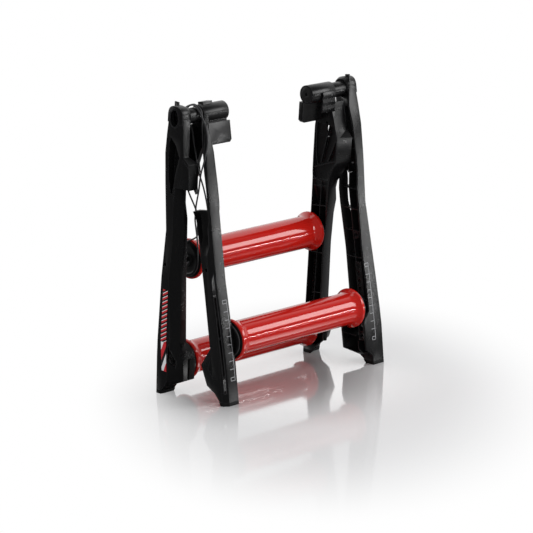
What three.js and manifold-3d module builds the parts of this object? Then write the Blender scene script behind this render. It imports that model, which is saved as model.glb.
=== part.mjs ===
// Folding bike rollers, folded and standing on end.
// Millimetres, +Z up, X along the rollers. The origin is on the floor, midway between the sides and between
// the rims.
// Two half frames hang from one fold axis. The front half is built like the rear half and turned half a turn.
import * as THREE from "three";
import { mergeVertices } from "three/addons/utils/BufferGeometryUtils.js";
import Module from "manifold-3d";

const wasm = await Module();
wasm.setup();

// Clearances
const seatGap = 0.3;
const turnGap = 0.4;
const cutOverrun = 3;
const weldDistance = 0.0001;

// Stance: each leg leans out from upright by the splay
const splayDegrees = 6.04;
const splay = THREE.MathUtils.degToRad(splayDegrees);
const legLength = 701.2;
const toeReach = 46;
const hingeHeight = legLength * Math.cos(splay) - toeReach * Math.sin(splay);

// Rollers
const rollerLength = 418;
const rimRadius = 50;
const tubeRadius = 41;
const tubeWall = 3;
const flareLength = 24;
const rimWidth = 8;
const rimRound = 3;
const capRadius = 45.7;
const capSeatDepth = 6.3;
const capStandOut = 5;
const capSpigotLength = 18;
const capRecess = 3;
const capRecessInner = 19;
const capRecessOuter = 38;
const pulleyRadius = 41;
const pulleyWidth = 7.9;
const grooveDepth = 5.6;
const grooveFloor = 3;
const beltRadius = 2;
const rollerSteps = 24;
const bearingSteps = 12;
const rimSegments = 2;

// Bearings, axles and their hexagonal ends
const bearingOuter = 11;
const bearingInner = 4.4;
const bearingWidth = 7;
const bearingChamfer = 0.5;
const axleRadius = 4;
const axleEndAcross = 12.6;
const axleEndLength = 12.3;
const noseRadius = 6.5;
const socketDepth = 13.4;
const socketFace = 237.6;
const socketWall = 2.6;
const axleEndStandIn = 2;

// Where the axle sockets lie, down the leg from the fold axis and in front of the hinge plane
const axleFront = 22.6;
const upperSocketDown = 368.6;
const lowerSocketDown = 447;
const socketPitch = 20;
const socketCount = 10;
const frontRollerSocket = 5;
const rearRollerSocket = 9;
const sightHoleRadius = 5;

// Steps around round parts
const hexSides = 6;
const smallSteps = 12;
const pinSteps = 20;
const headSteps = 24;
const hingeSteps = 24;

// Legs, across the stand from the middle outwards
const rollerSideGap = 9;
const innerLegWidth = 44;
const innerNeckWidth = 32;
const legPassGap = 3.5;
const outerLegWidth = 42.5;
const outerLegStepIn = 6.5;
const outerBumpStepIn = 28.5;
const legWall = 3.2;
const flangeWall = 6;
const edgeChamfer = 2;
const outerFrontChamfer = 5;
const blockReach = 47;
const endFootReach = 39;
const webWidth = 10;
const webLand = 0.8;
const webStepWidth = 0.5;
const lipSetBack = 9.5;
const pocketDepth = 2.2;
const soleCutReach = 94;
const ribWall = 2;
const ribInset = 2;

// Fold hinge
const barrelRadius = 23.4;
const barrelInside = 141.4;
const barrelRunIn = 3;
const hubPlateBottom = 30;
const hubPlateTopBack = 18.7;
const earCentreBack = 1.6;
const earHalfWidth = 25.8;
const earTop = 29.5;
const earFoot = 12;
const earHubIn = 10.5;
const earSlope = 10;
const earSteps = 16;
const eyeRadius = 19.4;
const eyeFloorIn = 11;
const eyeHalfWidth = 14;
const eyeHalfHeight = 20.6;
const eyeRingWidth = 3;
const eyeRingStandOut = 1.5;
const collarRadius = 19;
const collarReachIn = 20;
const pinRadius = 11;
const pinHeadRadius = 16;
const pinHeadLength = 6;
const plugRadius = 18.7;
const plugLength = 4;
const plugHoleRadius = 4;
const lugLength = 29;
const lugWidth = 18;
const lugHeight = 5;
const lugStart = 38.6;
const finIn = 20;
const finWidth = 3;
const finFrontFrom = 8;
const finFrontTo = 22;
const finTop = 35;
const finFoot = 10;

// Step tab under the barrel
const tabOutside = 213;
const tabInside = 144;
const tabTop = 23;
const tabBottom = 75;
const tabFront = 26;
const tabDepth = 15;
const tabNeck = 4;
const tabChamfer = 6;

// Ridged interlock plate
const ridgePlateInside = 172;
const ridgePlateWidth = 44;
const ridgePlateTop = -7;
const ridgePlateLength = 52;
const ridgePlateBack = 23.8;
const ridgePlateThickness = 3.4;
const ridgeHeight = 3;
const ridgeCount = 3;

// Feet, pads and trim
const footCapHeight = 9;
const padThickness = 3;
const padMargin = 3;
const innerPadWidth = 8;
const outerPadWidth = 18;
const trimThickness = 1;
const trimSplitGap = 0.8;

// Belt
const beltSteps = 58;
const beltSides = 6;
const beltWeldShare = 0.002;
const beltNearSteps = 5;

// Derived places across the stand
const rollerHalf = rollerLength / 2;
const innerLegInside = rollerHalf + rollerSideGap;
const innerLegOutside = innerLegInside + innerLegWidth;
const innerNeckOutside = innerLegInside + innerNeckWidth;
const outerLegInside = innerNeckOutside + legPassGap;
const outerLegOutside = outerLegInside + outerLegWidth;
const frontRollerDown = lowerSocketDown + frontRollerSocket * socketPitch;
const rearRollerDown = lowerSocketDown + rearRollerSocket * socketPitch;
const lastSocketDown = lowerSocketDown + (socketCount - 1) * socketPitch;
const ridgePlateEnd = ridgePlateTop + ridgePlateLength + seatGap + webStepWidth;
const grooveOut = rollerHalf + seatGap + pulleyWidth / 2;
const acrossToCorner = 1 / Math.cos(Math.PI / hexSides);
const socketRadius = (axleEndAcross / 2 + seatGap) * acrossToCorner;
const bossRadius = socketRadius + socketWall;
const axleSideways = (down) => axleFront * Math.cos(splay) + down * Math.sin(splay);
const axleHeight = (down) => hingeHeight - down * Math.cos(splay) + axleFront * Math.sin(splay);
const originShift = (axleSideways(rearRollerDown) - axleSideways(frontRollerDown)) / 2;

// Outlines down the leg, as shares of the leg's length and of the size that each one follows.
// Front face of each half frame: share of the toe's reach.
const rearFrontShares = [
  [0, 0.54], [0.13, 0.85], [0.24, 0.845], [0.406, 0.79], [0.57, 0.765], [0.8, 0.76], [1.03, 0.7],
];
const frontFrontShares = [
  [0, 0.54], [0.13, 0.86], [0.24, 0.915], [0.406, 0.905], [0.57, 0.87], [0.69, 0.96], [0.859, 1.035],
  [1.03, 0.985],
];
// Inner leg, outer side: 0 at the neck's width, 1 at the full width.
const innerOutShares = [[0, 0], [0.357, 0], [0.406, 1], [1.03, 1]];
// Inner leg, inner side behind the lip: 0 at the leg's inside, 1 where the web stands in by its width.
const innerInShares = [[0, 1], [0.3, 1], [0.46, 0], [1.03, 0]];
// Inner leg, back edge at its inner corner: share of the end foot's reach, forward of the hinge plane if
// negative.
const innerBackMainShares = [
  [0, 0.6], [0.06, 0.69], [0.09, 0.88], [0.13, 1.12], [0.157, 1.29], [0.24, 1.35], [0.27, 1.08], [0.3, 0.856],
  [0.33, 0.745], [0.406, 0.63], [0.57, 0.487], [0.69, 0.54], [0.8, 0.56], [0.859, 1], [0.93, 0.94],
  [0.955, 0.45],
];
const rearInnerBackShares = [...innerBackMainShares, [1, -0.42], [1.03, -0.42]];
const frontInnerBackShares = [...innerBackMainShares, [1, -0.76], [1.03, -0.76]];
// Inner leg, back edge at its outer corner: share of the end foot's reach.
const innerOutBackTopShares = [
  [0, 0.6], [0.06, 0.71], [0.09, 0.83], [0.13, 1.1], [0.157, 1.62], [0.24, 1.64],
];
const innerOutBackEndShares = [[0.859, 0.8], [0.93, 0.45], [0.955, -0.2]];
const rearInnerOutBackShares = [
  ...innerOutBackTopShares, [0.33, 0.6], [0.406, 0.29], [0.46, 0.14], [0.57, 0.064], [0.8, 0.16],
  ...innerOutBackEndShares, [1, -0.46], [1.03, -0.46],
];
const frontInnerOutBackShares = [
  ...innerOutBackTopShares, [0.33, 0.5], [0.406, -0.1], [0.57, -0.17], [0.8, -0.18], ...innerOutBackEndShares,
  [1, -0.82], [1.03, -0.82],
];
// Inner leg, front outer corner: how far it is cut away across, and how deep for each unit across.
const noseShares = [
  [0, 0.95], [0.06, 0.87], [0.13, 0.36], [0.157, 0.22], [0.24, 0.06], [0.357, 0.06], [0.406, 0.41],
  [1.03, 0.41],
];
const noseDepthShares = [[0, 1.25], [0.13, 1.2], [0.24, 1], [0.357, 1], [0.406, 0.77], [1.03, 0.77]];
// Outer leg, inner corner: 0 at the ear, 1 at the waist, and the end bump as a share of its own step.
const outerInShares = [[0, -1.9], [0.06, 0], [0.3, 0], [0.357, 1], [1.03, 1]];
const outerBumpInShares = [[0, 0], [0.8, 0], [0.834, 1], [0.938, 1], [0.965, 0], [1.03, 0]];
// Outer leg: how far its inner side leans out towards the back, as a share of its width.
const outerInBackShares = [[0, 0.1], [0.06, 0.39], [0.13, 0.39], [0.15, 0.02], [1.03, 0.02]];
// Outer leg, outer side: share of the outer leg's width.
const outerOutShares = [
  [0, 0.96], [0.06, 0.92], [0.13, 0.83], [0.24, 0.73], [0.406, 0.576], [0.46, 0.647], [0.57, 0.8], [0.8, 0.9],
  [0.859, 0.905], [1.03, 0.86],
];
// Outer leg, back edge: share of the block's reach.
const outerBackTopShares = [[0, 0.6], [0.13, 0.63], [0.15, 1], [0.24, 1.02]];
const outerBackEndShares = [[0.859, 0.766], [0.938, 0.766], [0.965, 0]];
const rearOuterBackShares = [
  ...outerBackTopShares, [0.245, 0.17], [0.3, 0.18], [0.406, 0.25], [0.57, 0.332], [0.8, 0.54],
  ...outerBackEndShares,
  [1, -0.35], [1.03, -0.35],
];
const frontOuterBackShares = [
  ...outerBackTopShares, [0.245, 0.5], [0.406, 0.5], [0.57, 0.37], [0.8, 0.4], ...outerBackEndShares,
  [1, -0.64],
  [1.03, -0.64],
];
// Outer leg: how far the slanted back wall draws in, and where it starts, as shares of the width and of the
// toe's reach.
const outerSlantShares = [
  [0, 0], [0.24, 0], [0.245, 0.45], [0.8, 0.5], [0.938, 0.7], [0.965, 0.2], [1.03, 0.2],
];
const outerSlantStartShares = [
  [0, -0.5], [0.24, -0.5], [0.245, 0.02], [0.357, 0.17], [0.57, 0.08], [0.8, -0.32], [0.938, -0.2],
  [1.03, 0.2],
];
const slantDropShare = 0.6;
// Floor of the scoop in the inner leg's outer side: 0 at the web, 1 at the full width.
const scoopShares = [[0, 0], [0.27, 0], [0.3, 0.06], [0.357, 0.3], [0.406, 0.6], [0.485, 1.06]];
// Back of the scoop where it leaves the back wall, as a share of the toe's reach.
const scoopBackShares = [[0, -2], [0.3, -2], [0.357, -0.5], [0.406, 0], [0.485, 0.3]];
// Depth of the hollow that opens inwards, as a share of the leg's width at that place.
const innerHollowShares = [
  [0.33, 0.1], [0.357, 0.13], [0.406, 0.42], [0.46, 0.76], [0.57, 0.9], [0.955, 0.9],
];
const outerHollowShares = [[0.06, 0.25], [0.24, 0.25], [0.3, 0.85], [0.955, 0.85]];
// Shallow pockets in the web, and the ribs across them: rows of [share of the toe's reach, share of the
// length].
const webPocketFromShare = 0.118;
const webPocketToShare = 0.322;
const webRibShares = [
  [[0.52, 0.1], [0.435, 0.224]],
  [[0.435, 0.224], [0.28, 0.271]],
  [[-0.5, 0.11], [0.02, 0.262]],
  [[-1.06, 0.16], [-0.5, 0.25]],
  [[-1.2, 0.238], [0.85, 0.294]],
];
const slitShares = [[-0.17, 0.105], [-0.35, 0.105], [-0.35, 0.163], [-0.17, 0.163]];
// Window in the web, through which the belt passes from the hinge collar to the rollers.
const windowShares = [
  [-0.52, 0.17], [-0.04, 0.115], [0.36, 0.15], [0.45, 0.2], [0.48, 0.47], [-0.87, 0.47], [-0.87, 0.225],
  [-0.52, 0.2],
];
const beltGateShares = [[0.1, 0.252], [-1.8, 0.252], [-1.8, 0.328], [0.1, 0.328]];
// Thin ribs across the hollows. Each row runs from one [depth share, length share] to another.
// Depth share 0 is the back edge and 1 the front face.
const ribShares = [
  [[0.55, 0.3], [0.35, 0.97]],
  [[0, 0.345], [1, 0.36]],
  [[0, 0.42], [1, 0.435]],
  [[0, 0.5], [1, 0.515]],
  [[0, 0.6], [1, 0.61]],
  [[0, 0.75], [1, 0.765]],
  [[0, 0.881], [1, 0.896]],
];
const upperRibShares = [
  [[0.62, 0.06], [0.5, 0.3]],
  [[0, 0.165], [1, 0.175]],
  [[0, 0.205], [1, 0.215]],
];
// Pockets in the outer sides: rows of [share of the toe's reach, share of the length].
const endPocketShares = [[0.2, 0.829], [-0.12, 0.867], [0.15, 0.904], [0.24, 0.87]];
const outerPocketShares = [
  [0.28, 0.067], [0.4, 0.088], [0.48, 0.157], [0.48, 0.214], [0.35, 0.27], [0.2, 0.27], [-0.06, 0.192],
  [-0.36, 0.133], [-0.1, 0.094],
];
const outerPocketFloorShare = 0.35;
const outerEndPocketShares = [[-0.2, 0.8], [-0.55, 0.865], [-0.5, 0.89], [-0.12, 0.86]];
const outerEndPocketFloorShare = 0.48;
// The dark slit along the block's slanted shoulder
const grooveShares = [[-0.6, 0.1395], [-1.04, 0.162], [-1.04, 0.166], [-0.6, 0.1435]];
const grooveFloorShare = 0.75;
// Trim panels: where they start, change colour and end, and their edges as shares of the toe's reach.
const trimFromShare = 0.613;
const trimMiddleShare = 0.8;
const trimToShare = 0.905;
const trimFrontShares = [[0.613, 0.43], [0.656, 0.42], [0.777, 0.383], [0.905, 0.2]];
const trimBackShares = [[0.613, 0.075], [0.656, 0.04], [0.777, -0.03], [0.905, -0.16]];
// Ends of the leg, its hollows, the foot caps and the pads, as shares of the leg's length.
const legTopShare = 0.033;
const legEndShare = 1.02;
const hollowEndShare = 0.955;
const footCapTopShare = 0.97;
const innerPadFromShare = 0.862;
const innerPadToShare = 0.928;
const outerPadFromShare = 0.86;
const outerPadToShare = 0.934;
// Ear: its squareness, and its outline at the hub as a share of its full outline.
const earRoundShare = 0.72;
const earHubShare = 0.84;
// Roller flare: [share of the flare's length, share of the rise from tube to rim].
const flareShares = [[0, 0], [0.5, 0.15], [0.85, 0.58]];

// Interpolates a table of [place share, value share] rows.
function share(rows, place) {
  const next = rows.findIndex((row) => row[0] >= place);
  if (next < 0) return rows[rows.length - 1][1];
  if (next === 0) return rows[0][1];
  const [from, to] = [rows[next - 1], rows[next]];
  return THREE.MathUtils.mapLinear(place, from[0], to[0], from[1], to[1]);
}

// Profile values at a distance down the leg
const mix = THREE.MathUtils.lerp;
const valueAt = (scale, rows) => (down) => scale * share(rows, down / legLength);
const innerOutAt = (down) => mix(innerNeckOutside, innerLegOutside, share(innerOutShares, down / legLength));
const innerInAt = (down) => innerLegInside - mix(webLand, webWidth, share(innerInShares, down / legLength));
const webBackAt = (half, down) => {
  const back = half.innerBackAt(down);
  return down < ridgePlateEnd ? Math.max(back, -barrelRadius) : back;
};
const noseAt = valueAt(innerNeckWidth, noseShares);
const noseDepthAt = (down) => noseAt(down) * share(noseDepthShares, down / legLength);
const outerInAt = (down) =>
  outerLegInside -
  outerLegStepIn * share(outerInShares, down / legLength) -
  (outerBumpStepIn - outerLegStepIn) * share(outerBumpInShares, down / legLength);
const outerOutAt = (down) => outerLegInside + outerLegWidth * share(outerOutShares, down / legLength);
const outerSlantAt = valueAt(outerLegWidth, outerSlantShares);
const outerSlantStartAt = valueAt(toeReach, outerSlantStartShares);

// The two half frames differ in their front face, in some back edges and in where the belt passes.
function halfProfile(frontRows, innerBackRows, innerOutBackRows, outerBackRows, beltPasses) {
  return {
    innerTables: [frontRows, innerBackRows, innerOutBackRows],
    outerTables: [frontRows, outerBackRows],
    frontAt: valueAt(toeReach, frontRows),
    innerBackAt: valueAt(-endFootReach, innerBackRows),
    innerOutBackAt: valueAt(-endFootReach, innerOutBackRows),
    outerBackAt: valueAt(-blockReach, outerBackRows),
    beltPasses,
  };
}
const rearHalf = halfProfile(
  rearFrontShares, rearInnerBackShares, rearInnerOutBackShares, rearOuterBackShares, false,
);
const frontHalf = halfProfile(
  frontFrontShares, frontInnerBackShares, frontInnerOutBackShares, frontOuterBackShares, true,
);

// How far down the leg the floor lies, for a point in front of the hinge plane.
const floorDown = (front) => (hingeHeight + front * Math.sin(splay)) / Math.cos(splay);

// A three.js geometry as a solid that can be joined and cut.
function solid(geometry) {
  const bare = geometry.index ? geometry.toNonIndexed() : geometry.clone();
  bare.deleteAttribute("normal");
  bare.deleteAttribute("uv");
  const merged = mergeVertices(bare, weldDistance);
  return new wasm.Manifold(
    new wasm.Mesh({
      numProp: 3,
      vertProperties: merged.attributes.position.array,
      triVerts: new Uint32Array(merged.index.array),
    }),
  );
}

function join(first, ...others) {
  return others.reduce((sum, other) => sum.add(other), first);
}

function cut(first, ...others) {
  return others.reduce((rest, other) => rest.subtract(other), first);
}

// A named mesh from a solid.
function part(name, body, material) {
  const { numProp, vertProperties, triVerts, numVert } = body.getMesh();
  const places = new Float32Array(numVert * 3);
  for (let i = 0; i < numVert; i++) places.set(vertProperties.subarray(i * numProp, i * numProp + 3), i * 3);
  const geometry = new THREE.BufferGeometry();
  geometry.setAttribute("position", new THREE.BufferAttribute(places, 3));
  geometry.setIndex(new THREE.BufferAttribute(triVerts, 1));
  geometry.computeVertexNormals();
  const mesh = new THREE.Mesh(geometry, material);
  mesh.name = name;
  return mesh;
}

// Legs are made in leg axes: X outwards from the middle, Y to the front face, Z up along the leg from the
// fold axis.
// A side outline holds [front, down] points and is pushed out from one place across the stand to another.
function sideSlab(points, from, to) {
  const shape = new THREE.Shape(points.map(([front, down]) => new THREE.Vector2(front, -down)));
  const geometry = new THREE.ExtrudeGeometry(shape, { depth: to - from, bevelEnabled: false });
  const axes = new THREE.Matrix4().makeBasis(
    new THREE.Vector3(0, 1, 0),
    new THREE.Vector3(0, 0, 1),
    new THREE.Vector3(1, 0, 0),
  );
  geometry.applyMatrix4(axes).translate(from, 0, 0);
  return solid(geometry);
}

// A side outline given as shares of the toe's reach and of the leg's length.
function shareSlab(shares, from, to) {
  return sideSlab(shares.map(([front, down]) => [front * toeReach, down * legLength]), from, to);
}

// A front outline holds [out, down] points and is pushed from one depth to another.
function frontSlab(points, from, to) {
  const shape = new THREE.Shape(points.map(([out, down]) => new THREE.Vector2(-down, out)));
  const geometry = new THREE.ExtrudeGeometry(shape, { depth: to - from, bevelEnabled: false });
  const axes = new THREE.Matrix4().makeBasis(
    new THREE.Vector3(0, 0, 1),
    new THREE.Vector3(1, 0, 0),
    new THREE.Vector3(0, 1, 0),
  );
  geometry.applyMatrix4(axes).translate(0, from, 0);
  return solid(geometry);
}

function box(outFrom, outTo, frontFrom, frontTo, downFrom, downTo) {
  const corners = [[frontFrom, downFrom], [frontTo, downFrom], [frontTo, downTo], [frontFrom, downTo]];
  return sideSlab(corners, outFrom, outTo);
}

// A rod along the stand, round or with flats, at a place on the leg.
function rod(radius, from, to, front, down, sides) {
  const geometry = new THREE.CylinderGeometry(radius, radius, to - from, sides);
  geometry.rotateZ(-Math.PI / 2).translate((from + to) / 2, front, -down);
  return solid(geometry);
}

// A turned piece on the X axis from [along, radius] points. The ring closes on itself.
function turned(points, steps) {
  const ring = [...points, points[0]].map(([along, radius]) => new THREE.Vector2(radius, along));
  const geometry = new THREE.LatheGeometry(ring, steps);
  geometry.rotateZ(-Math.PI / 2);
  const body = solid(geometry);
  return body.volume() > 0 ? body : turned([...points].reverse(), steps);
}

// A solid skinned over flat cross sections with the same number of points, each counterclockwise when
// flattened.
const fromAbove = (point) => new THREE.Vector2(point.x, point.y);
const fromTheSide = (point) => new THREE.Vector2(point.y, point.z);
function skin(rings, flatten = fromAbove) {
  const count = rings[0].length;
  const index = [];
  for (let level = 0; level + 1 < rings.length; level++)
    for (let i = 0; i < count; i++) {
      const here = level * count + i;
      const beside = level * count + ((i + 1) % count);
      index.push(here, here + count, beside, beside, here + count, beside + count);
    }
  const lid = (level, turnOver) => {
    for (const face of THREE.ShapeUtils.triangulateShape(rings[level].map(flatten), [])) {
      const [a, b, c] = face.map((corner) => corner + level * count);
      index.push(...(turnOver ? [a, c, b] : [a, b, c]));
    }
  };
  lid(0, false);
  lid(rings.length - 1, true);
  const geometry = new THREE.BufferGeometry().setFromPoints(rings.flat());
  geometry.setIndex(index);
  const body = solid(geometry);
  return body.volume() > 0 ? body : skin([...rings].reverse(), flatten);
}

// Every place down the leg where one of the given tables bends, between two shares, as distances.
function stations(from, to, ...tables) {
  const shares = tables.flat().map((row) => row[0]);
  const inside = [...new Set(shares)].filter((place) => place > from && place < to);
  return [from, ...inside, to].sort((a, b) => a - b).map((place) => place * legLength);
}

const levelPoint = (down) => ([out, front]) => new THREE.Vector3(out, front, -down);

// Outer shape of the inner leg at one level. The web stands in behind a lip along the front face.
function innerRing(half, down) {
  const outside = innerOutAt(down);
  const [front, back, outBack] = [half.frontAt(down), half.innerBackAt(down), half.innerOutBackAt(down)];
  return [
    [innerLegInside, front - edgeChamfer],
    [innerLegInside, front - lipSetBack],
    [innerInAt(down), front - lipSetBack],
    [innerInAt(down), webBackAt(half, down)],
    [innerLegInside - webStepWidth, webBackAt(half, down)],
    [innerLegInside, back],
    [outside - edgeChamfer, outBack],
    [outside, outBack + edgeChamfer],
    [outside, front - Math.max(noseDepthAt(down), edgeChamfer)],
    [outside - Math.max(noseAt(down), edgeChamfer), front],
    [innerLegInside + edgeChamfer / 2, front],
  ].map(levelPoint(down));
}

// Outer shape of the outer leg at one level.
function outerRing(half, down) {
  const [inside, outside] = [outerInAt(down), outerOutAt(down)];
  const [front, back] = [half.frontAt(down), half.outerBackAt(down)];
  const leanOut = outerLegWidth * share(outerInBackShares, down / legLength);
  const slantStart = Math.max(outerSlantStartAt(down), back + edgeChamfer);
  const slantIn = outerSlantAt(down) + edgeChamfer;
  return [
    [inside, front - edgeChamfer],
    [inside + leanOut, back],
    [outside - slantIn, back],
    [outside, slantStart],
    [outside, front - outerFrontChamfer],
    [outside - outerFrontChamfer, front],
    [inside + edgeChamfer, front],
  ].map(levelPoint(down));
}

// The hollow of the inner leg at one level: open inwards, with a wall left all round.
function innerHollowRing(half, down) {
  const [inside, front] = [innerInAt(down), half.frontAt(down) - legWall];
  const floor = innerLegInside + innerLegWidth * share(innerHollowShares, down / legLength);
  const back = half.innerBackAt(down) + legWall;
  const outBack = Math.max(half.innerOutBackAt(down), half.innerBackAt(down)) + legWall;
  return [
    [inside - cutOverrun, front],
    [inside - cutOverrun, back],
    [floor - legWall, outBack],
    [floor, outBack + legWall],
    [floor, front - legWall],
    [floor - legWall, front],
  ].map(levelPoint(down));
}

function innerHollow(half) {
  const tables = [innerHollowShares, innerInShares, ...half.innerTables];
  const levels = stations(innerHollowShares[0][0], hollowEndShare, ...tables);
  return skin(levels.map((down) => innerHollowRing(half, down)));
}

// The hollow of the outer leg at one level: open inwards, with a wall left all round.
function outerHollowRing(half, down) {
  const inside = outerInAt(down);
  const floor = inside + (outerOutAt(down) - inside) * share(outerHollowShares, down / legLength);
  const [front, back] = [half.frontAt(down) - legWall, half.outerBackAt(down) + legWall];
  const slantBack = back + outerSlantAt(down) * slantDropShare;
  return [
    [inside - cutOverrun, front],
    [inside - cutOverrun, back],
    [floor - legWall, slantBack],
    [floor, slantBack + legWall],
    [floor, front - legWall],
    [floor - legWall, front],
  ].map(levelPoint(down));
}

function outerHollow(half) {
  const tables = [outerHollowShares, outerOutShares, outerInShares, outerBumpInShares, outerSlantShares];
  const levels = stations(outerHollowShares[0][0], hollowEndShare, ...tables, ...half.outerTables);
  return skin(levels.map((down) => outerHollowRing(half, down)));
}

// A thin rib between two [front, down] places, pushed out from one place across the stand to another.
function rib(start, end, inside, outside) {
  const [from, to] = [start, end].map(([front, down]) => new THREE.Vector2(front, down));
  const along = to.clone().sub(from).normalize();
  const side = new THREE.Vector2(-along.y, along.x).multiplyScalar(ribWall / 2);
  const corners = [
    from.clone().add(side), from.clone().sub(side), to.clone().sub(side), to.clone().add(side),
  ];
  return sideSlab(corners.map((corner) => [corner.x, corner.y]), inside, outside);
}

// Ribs that run from the back edge's depth towards the front face's depth.
function hollowRibs(rows, half, backAt, inside, outside) {
  const place = ([depth, down]) => {
    const distance = down * legLength;
    return [mix(backAt(distance), half.frontAt(distance), depth), distance];
  };
  return join(...rows.map(([from, to]) => rib(place(from), place(to), inside, outside)));
}

function socketPlaces() {
  const lower = Array.from({ length: socketCount }, (_, i) => lowerSocketDown + i * socketPitch);
  return [upperSocketDown, ...lower];
}

// Raised seats on the hollow's floor: one boss above, and one long rail for the row of sockets below.
function bosses(outside) {
  const upper = rod(bossRadius, socketFace, outside, axleFront, upperSocketDown, hexSides);
  const lower = box(
    socketFace, outside, axleFront - bossRadius, axleFront + bossRadius,
    lowerSocketDown - bossRadius, lastSocketDown + bossRadius,
  );
  return join(upper, lower);
}

// Clear room over the sockets, where an axle end passes on its way in.
function axleSlots() {
  const rows = [[upperSocketDown, upperSocketDown], [lowerSocketDown, lastSocketDown]];
  const slots = rows.map(([from, to]) =>
    box(
      barrelInside, socketFace, axleFront - bossRadius, axleFront + bossRadius,
      from - bossRadius, to + bossRadius,
    ),
  );
  return join(...slots);
}

function sockets() {
  const bodies = socketPlaces().map((down) =>
    rod(socketRadius, socketFace - cutOverrun, socketFace + socketDepth, axleFront, down, hexSides),
  );
  const through = outerLegOutside + cutOverrun;
  const sightHole = rod(sightHoleRadius, socketFace, through, axleFront, upperSocketDown, smallSteps);
  return join(...bodies, sightHole);
}

// Everything below the sole plane, which lies level when the rollers stand folded.
function belowSole(height) {
  const corners = [-soleCutReach, soleCutReach].map((front) => [front, floorDown(front) - height]);
  const deep = [soleCutReach, -soleCutReach].map((front) => [front, floorDown(front) + soleCutReach]);
  return sideSlab([...corners, ...deep], innerLegInside - soleCutReach, outerLegOutside + soleCutReach);
}

function innerLeg(half) {
  const tables = [innerOutShares, innerInShares, noseShares, ...half.innerTables];
  const steps = [ridgePlateEnd - webStepWidth, ridgePlateEnd];
  const levels = [...stations(legTopShare, legEndShare, ...tables), ...steps].sort((a, b) => a - b);
  const shell = skin(levels.map((down) => innerRing(half, down)));
  const ribs = hollowRibs(ribShares, half, half.innerBackAt, innerLegInside + ribInset, innerLegOutside);
  const hollow = cut(innerHollow(half), cut(ribs, axleSlots()), bosses(innerLegOutside));
  const body = join(cut(shell, scoop(half), hollow), hubPlate(half), barrel(half), stepTab());
  const webCuts = half.beltPasses ? [beltWindow(), beltGate()] : [webPockets(half), slit()];
  return cut(body, barrelBore(), ...webCuts, sockets(), endPocket(), belowSole(footCapHeight + seatGap));
}

// The plate that ties the barrel to the top of the leg.
function hubPlate(half) {
  const outline = [
    [-hubPlateTopBack, 0], [barrelRadius, 0], [half.frontAt(hubPlateBottom) - lipSetBack, hubPlateBottom],
    [-barrelRadius, hubPlateBottom], [-barrelRadius, legTopShare * legLength],
  ];
  return sideSlab(outline, innerLegInside - webWidth, innerLegInside + barrelRunIn);
}

// The scoop in the outer side of the inner leg's neck, between its front flange and its back wall.
function scoop(half) {
  const last = scoopShares[scoopShares.length - 1][0];
  const levels = stations(0, last, scoopShares, scoopBackShares, ...half.innerTables);
  return skin(
    levels.map((down) => {
      const floor = mix(innerLegInside, innerLegOutside, share(scoopShares, down / legLength));
      const front = half.frontAt(down) - flangeWall;
      const wallBack = Math.max(half.innerBackAt(down), half.innerOutBackAt(down)) + legWall;
      const back = Math.max(wallBack, toeReach * share(scoopBackShares, down / legLength));
      return [
        [floor, front - flangeWall],
        [floor, back + flangeWall],
        [floor + flangeWall / 2, back],
        [innerLegOutside + cutOverrun + flangeWall, back],
        [innerLegOutside + cutOverrun + flangeWall, front],
        [floor + flangeWall / 2, front],
      ].map(levelPoint(down));
    }),
  );
}

// Shallow pockets between ribs, in the inner side of the web.
function webPockets(half) {
  const levels = stations(webPocketFromShare, webPocketToShare, innerInShares, ...half.innerTables);
  const pocket = skin(
    levels.map((down) => {
      const [front, back] = [half.frontAt(down) - lipSetBack - legWall, half.innerBackAt(down) + legWall];
      const [inside, floor] = [innerLegInside - webWidth - cutOverrun, innerLegInside - legWall];
      return [[inside, front], [inside, back], [floor, back], [floor, front]].map(levelPoint(down));
    }),
  );
  const place = ([front, down]) => [front * toeReach, down * legLength];
  const ribs = webRibShares.map(([from, to]) =>
    rib(place(from), place(to), innerLegInside - webWidth - cutOverrun, innerLegInside),
  );
  return cut(pocket, join(...ribs));
}

function slit() {
  return shareSlab(slitShares, innerLegInside - webWidth - cutOverrun, innerLegInside + seatGap);
}

function beltWindow() {
  return shareSlab(windowShares, innerLegInside - webWidth - cutOverrun, innerLegInside + seatGap);
}

// Gate in the scoop's back wall, through which the belt leaves towards the rear rollers.
function beltGate() {
  return shareSlab(beltGateShares, innerLegInside, outerLegOutside);
}

// The front half's barrel carries a lug on top, beside the belt.
function barrel(half) {
  const body = rod(barrelRadius, barrelInside, innerLegInside + barrelRunIn, 0, 0, hingeSteps);
  if (!half.beltPasses) return body;
  const lugFrom = barrelInside + lugStart;
  const lug = box(lugFrom, lugFrom + lugLength, -lugWidth / 2, lugWidth / 2, -barrelRadius - lugHeight, 0);
  return join(body, lug);
}

function barrelBore() {
  const bore = rod(pinRadius + seatGap, barrelInside - cutOverrun, socketFace, 0, 0, pinSteps);
  const seatEnd = barrelInside + plugLength + seatGap;
  const seat = rod(plugRadius + seatGap, barrelInside - cutOverrun, seatEnd, 0, 0, headSteps);
  return join(bore, seat);
}

// The tab steps down in front of the leg, under the barrel.
function stepTab() {
  const outline = [
    [tabInside, tabTop], [tabOutside, tabTop], [tabOutside, tabBottom], [tabInside + tabChamfer, tabBottom],
    [tabInside, tabBottom - tabChamfer],
  ];
  const tab = frontSlab(outline, tabFront - tabDepth, tabFront);
  const neckFrom = tabFront - tabDepth;
  const neck = box(tabInside, tabOutside, neckFrom, neckFrom + tabNeck, 0, tabTop + tabNeck);
  return join(tab, neck);
}

// Pocket in the outer side of the end bump
function endPocket() {
  return shareSlab(endPocketShares, innerLegOutside - pocketDepth, innerLegOutside + cutOverrun);
}

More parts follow.
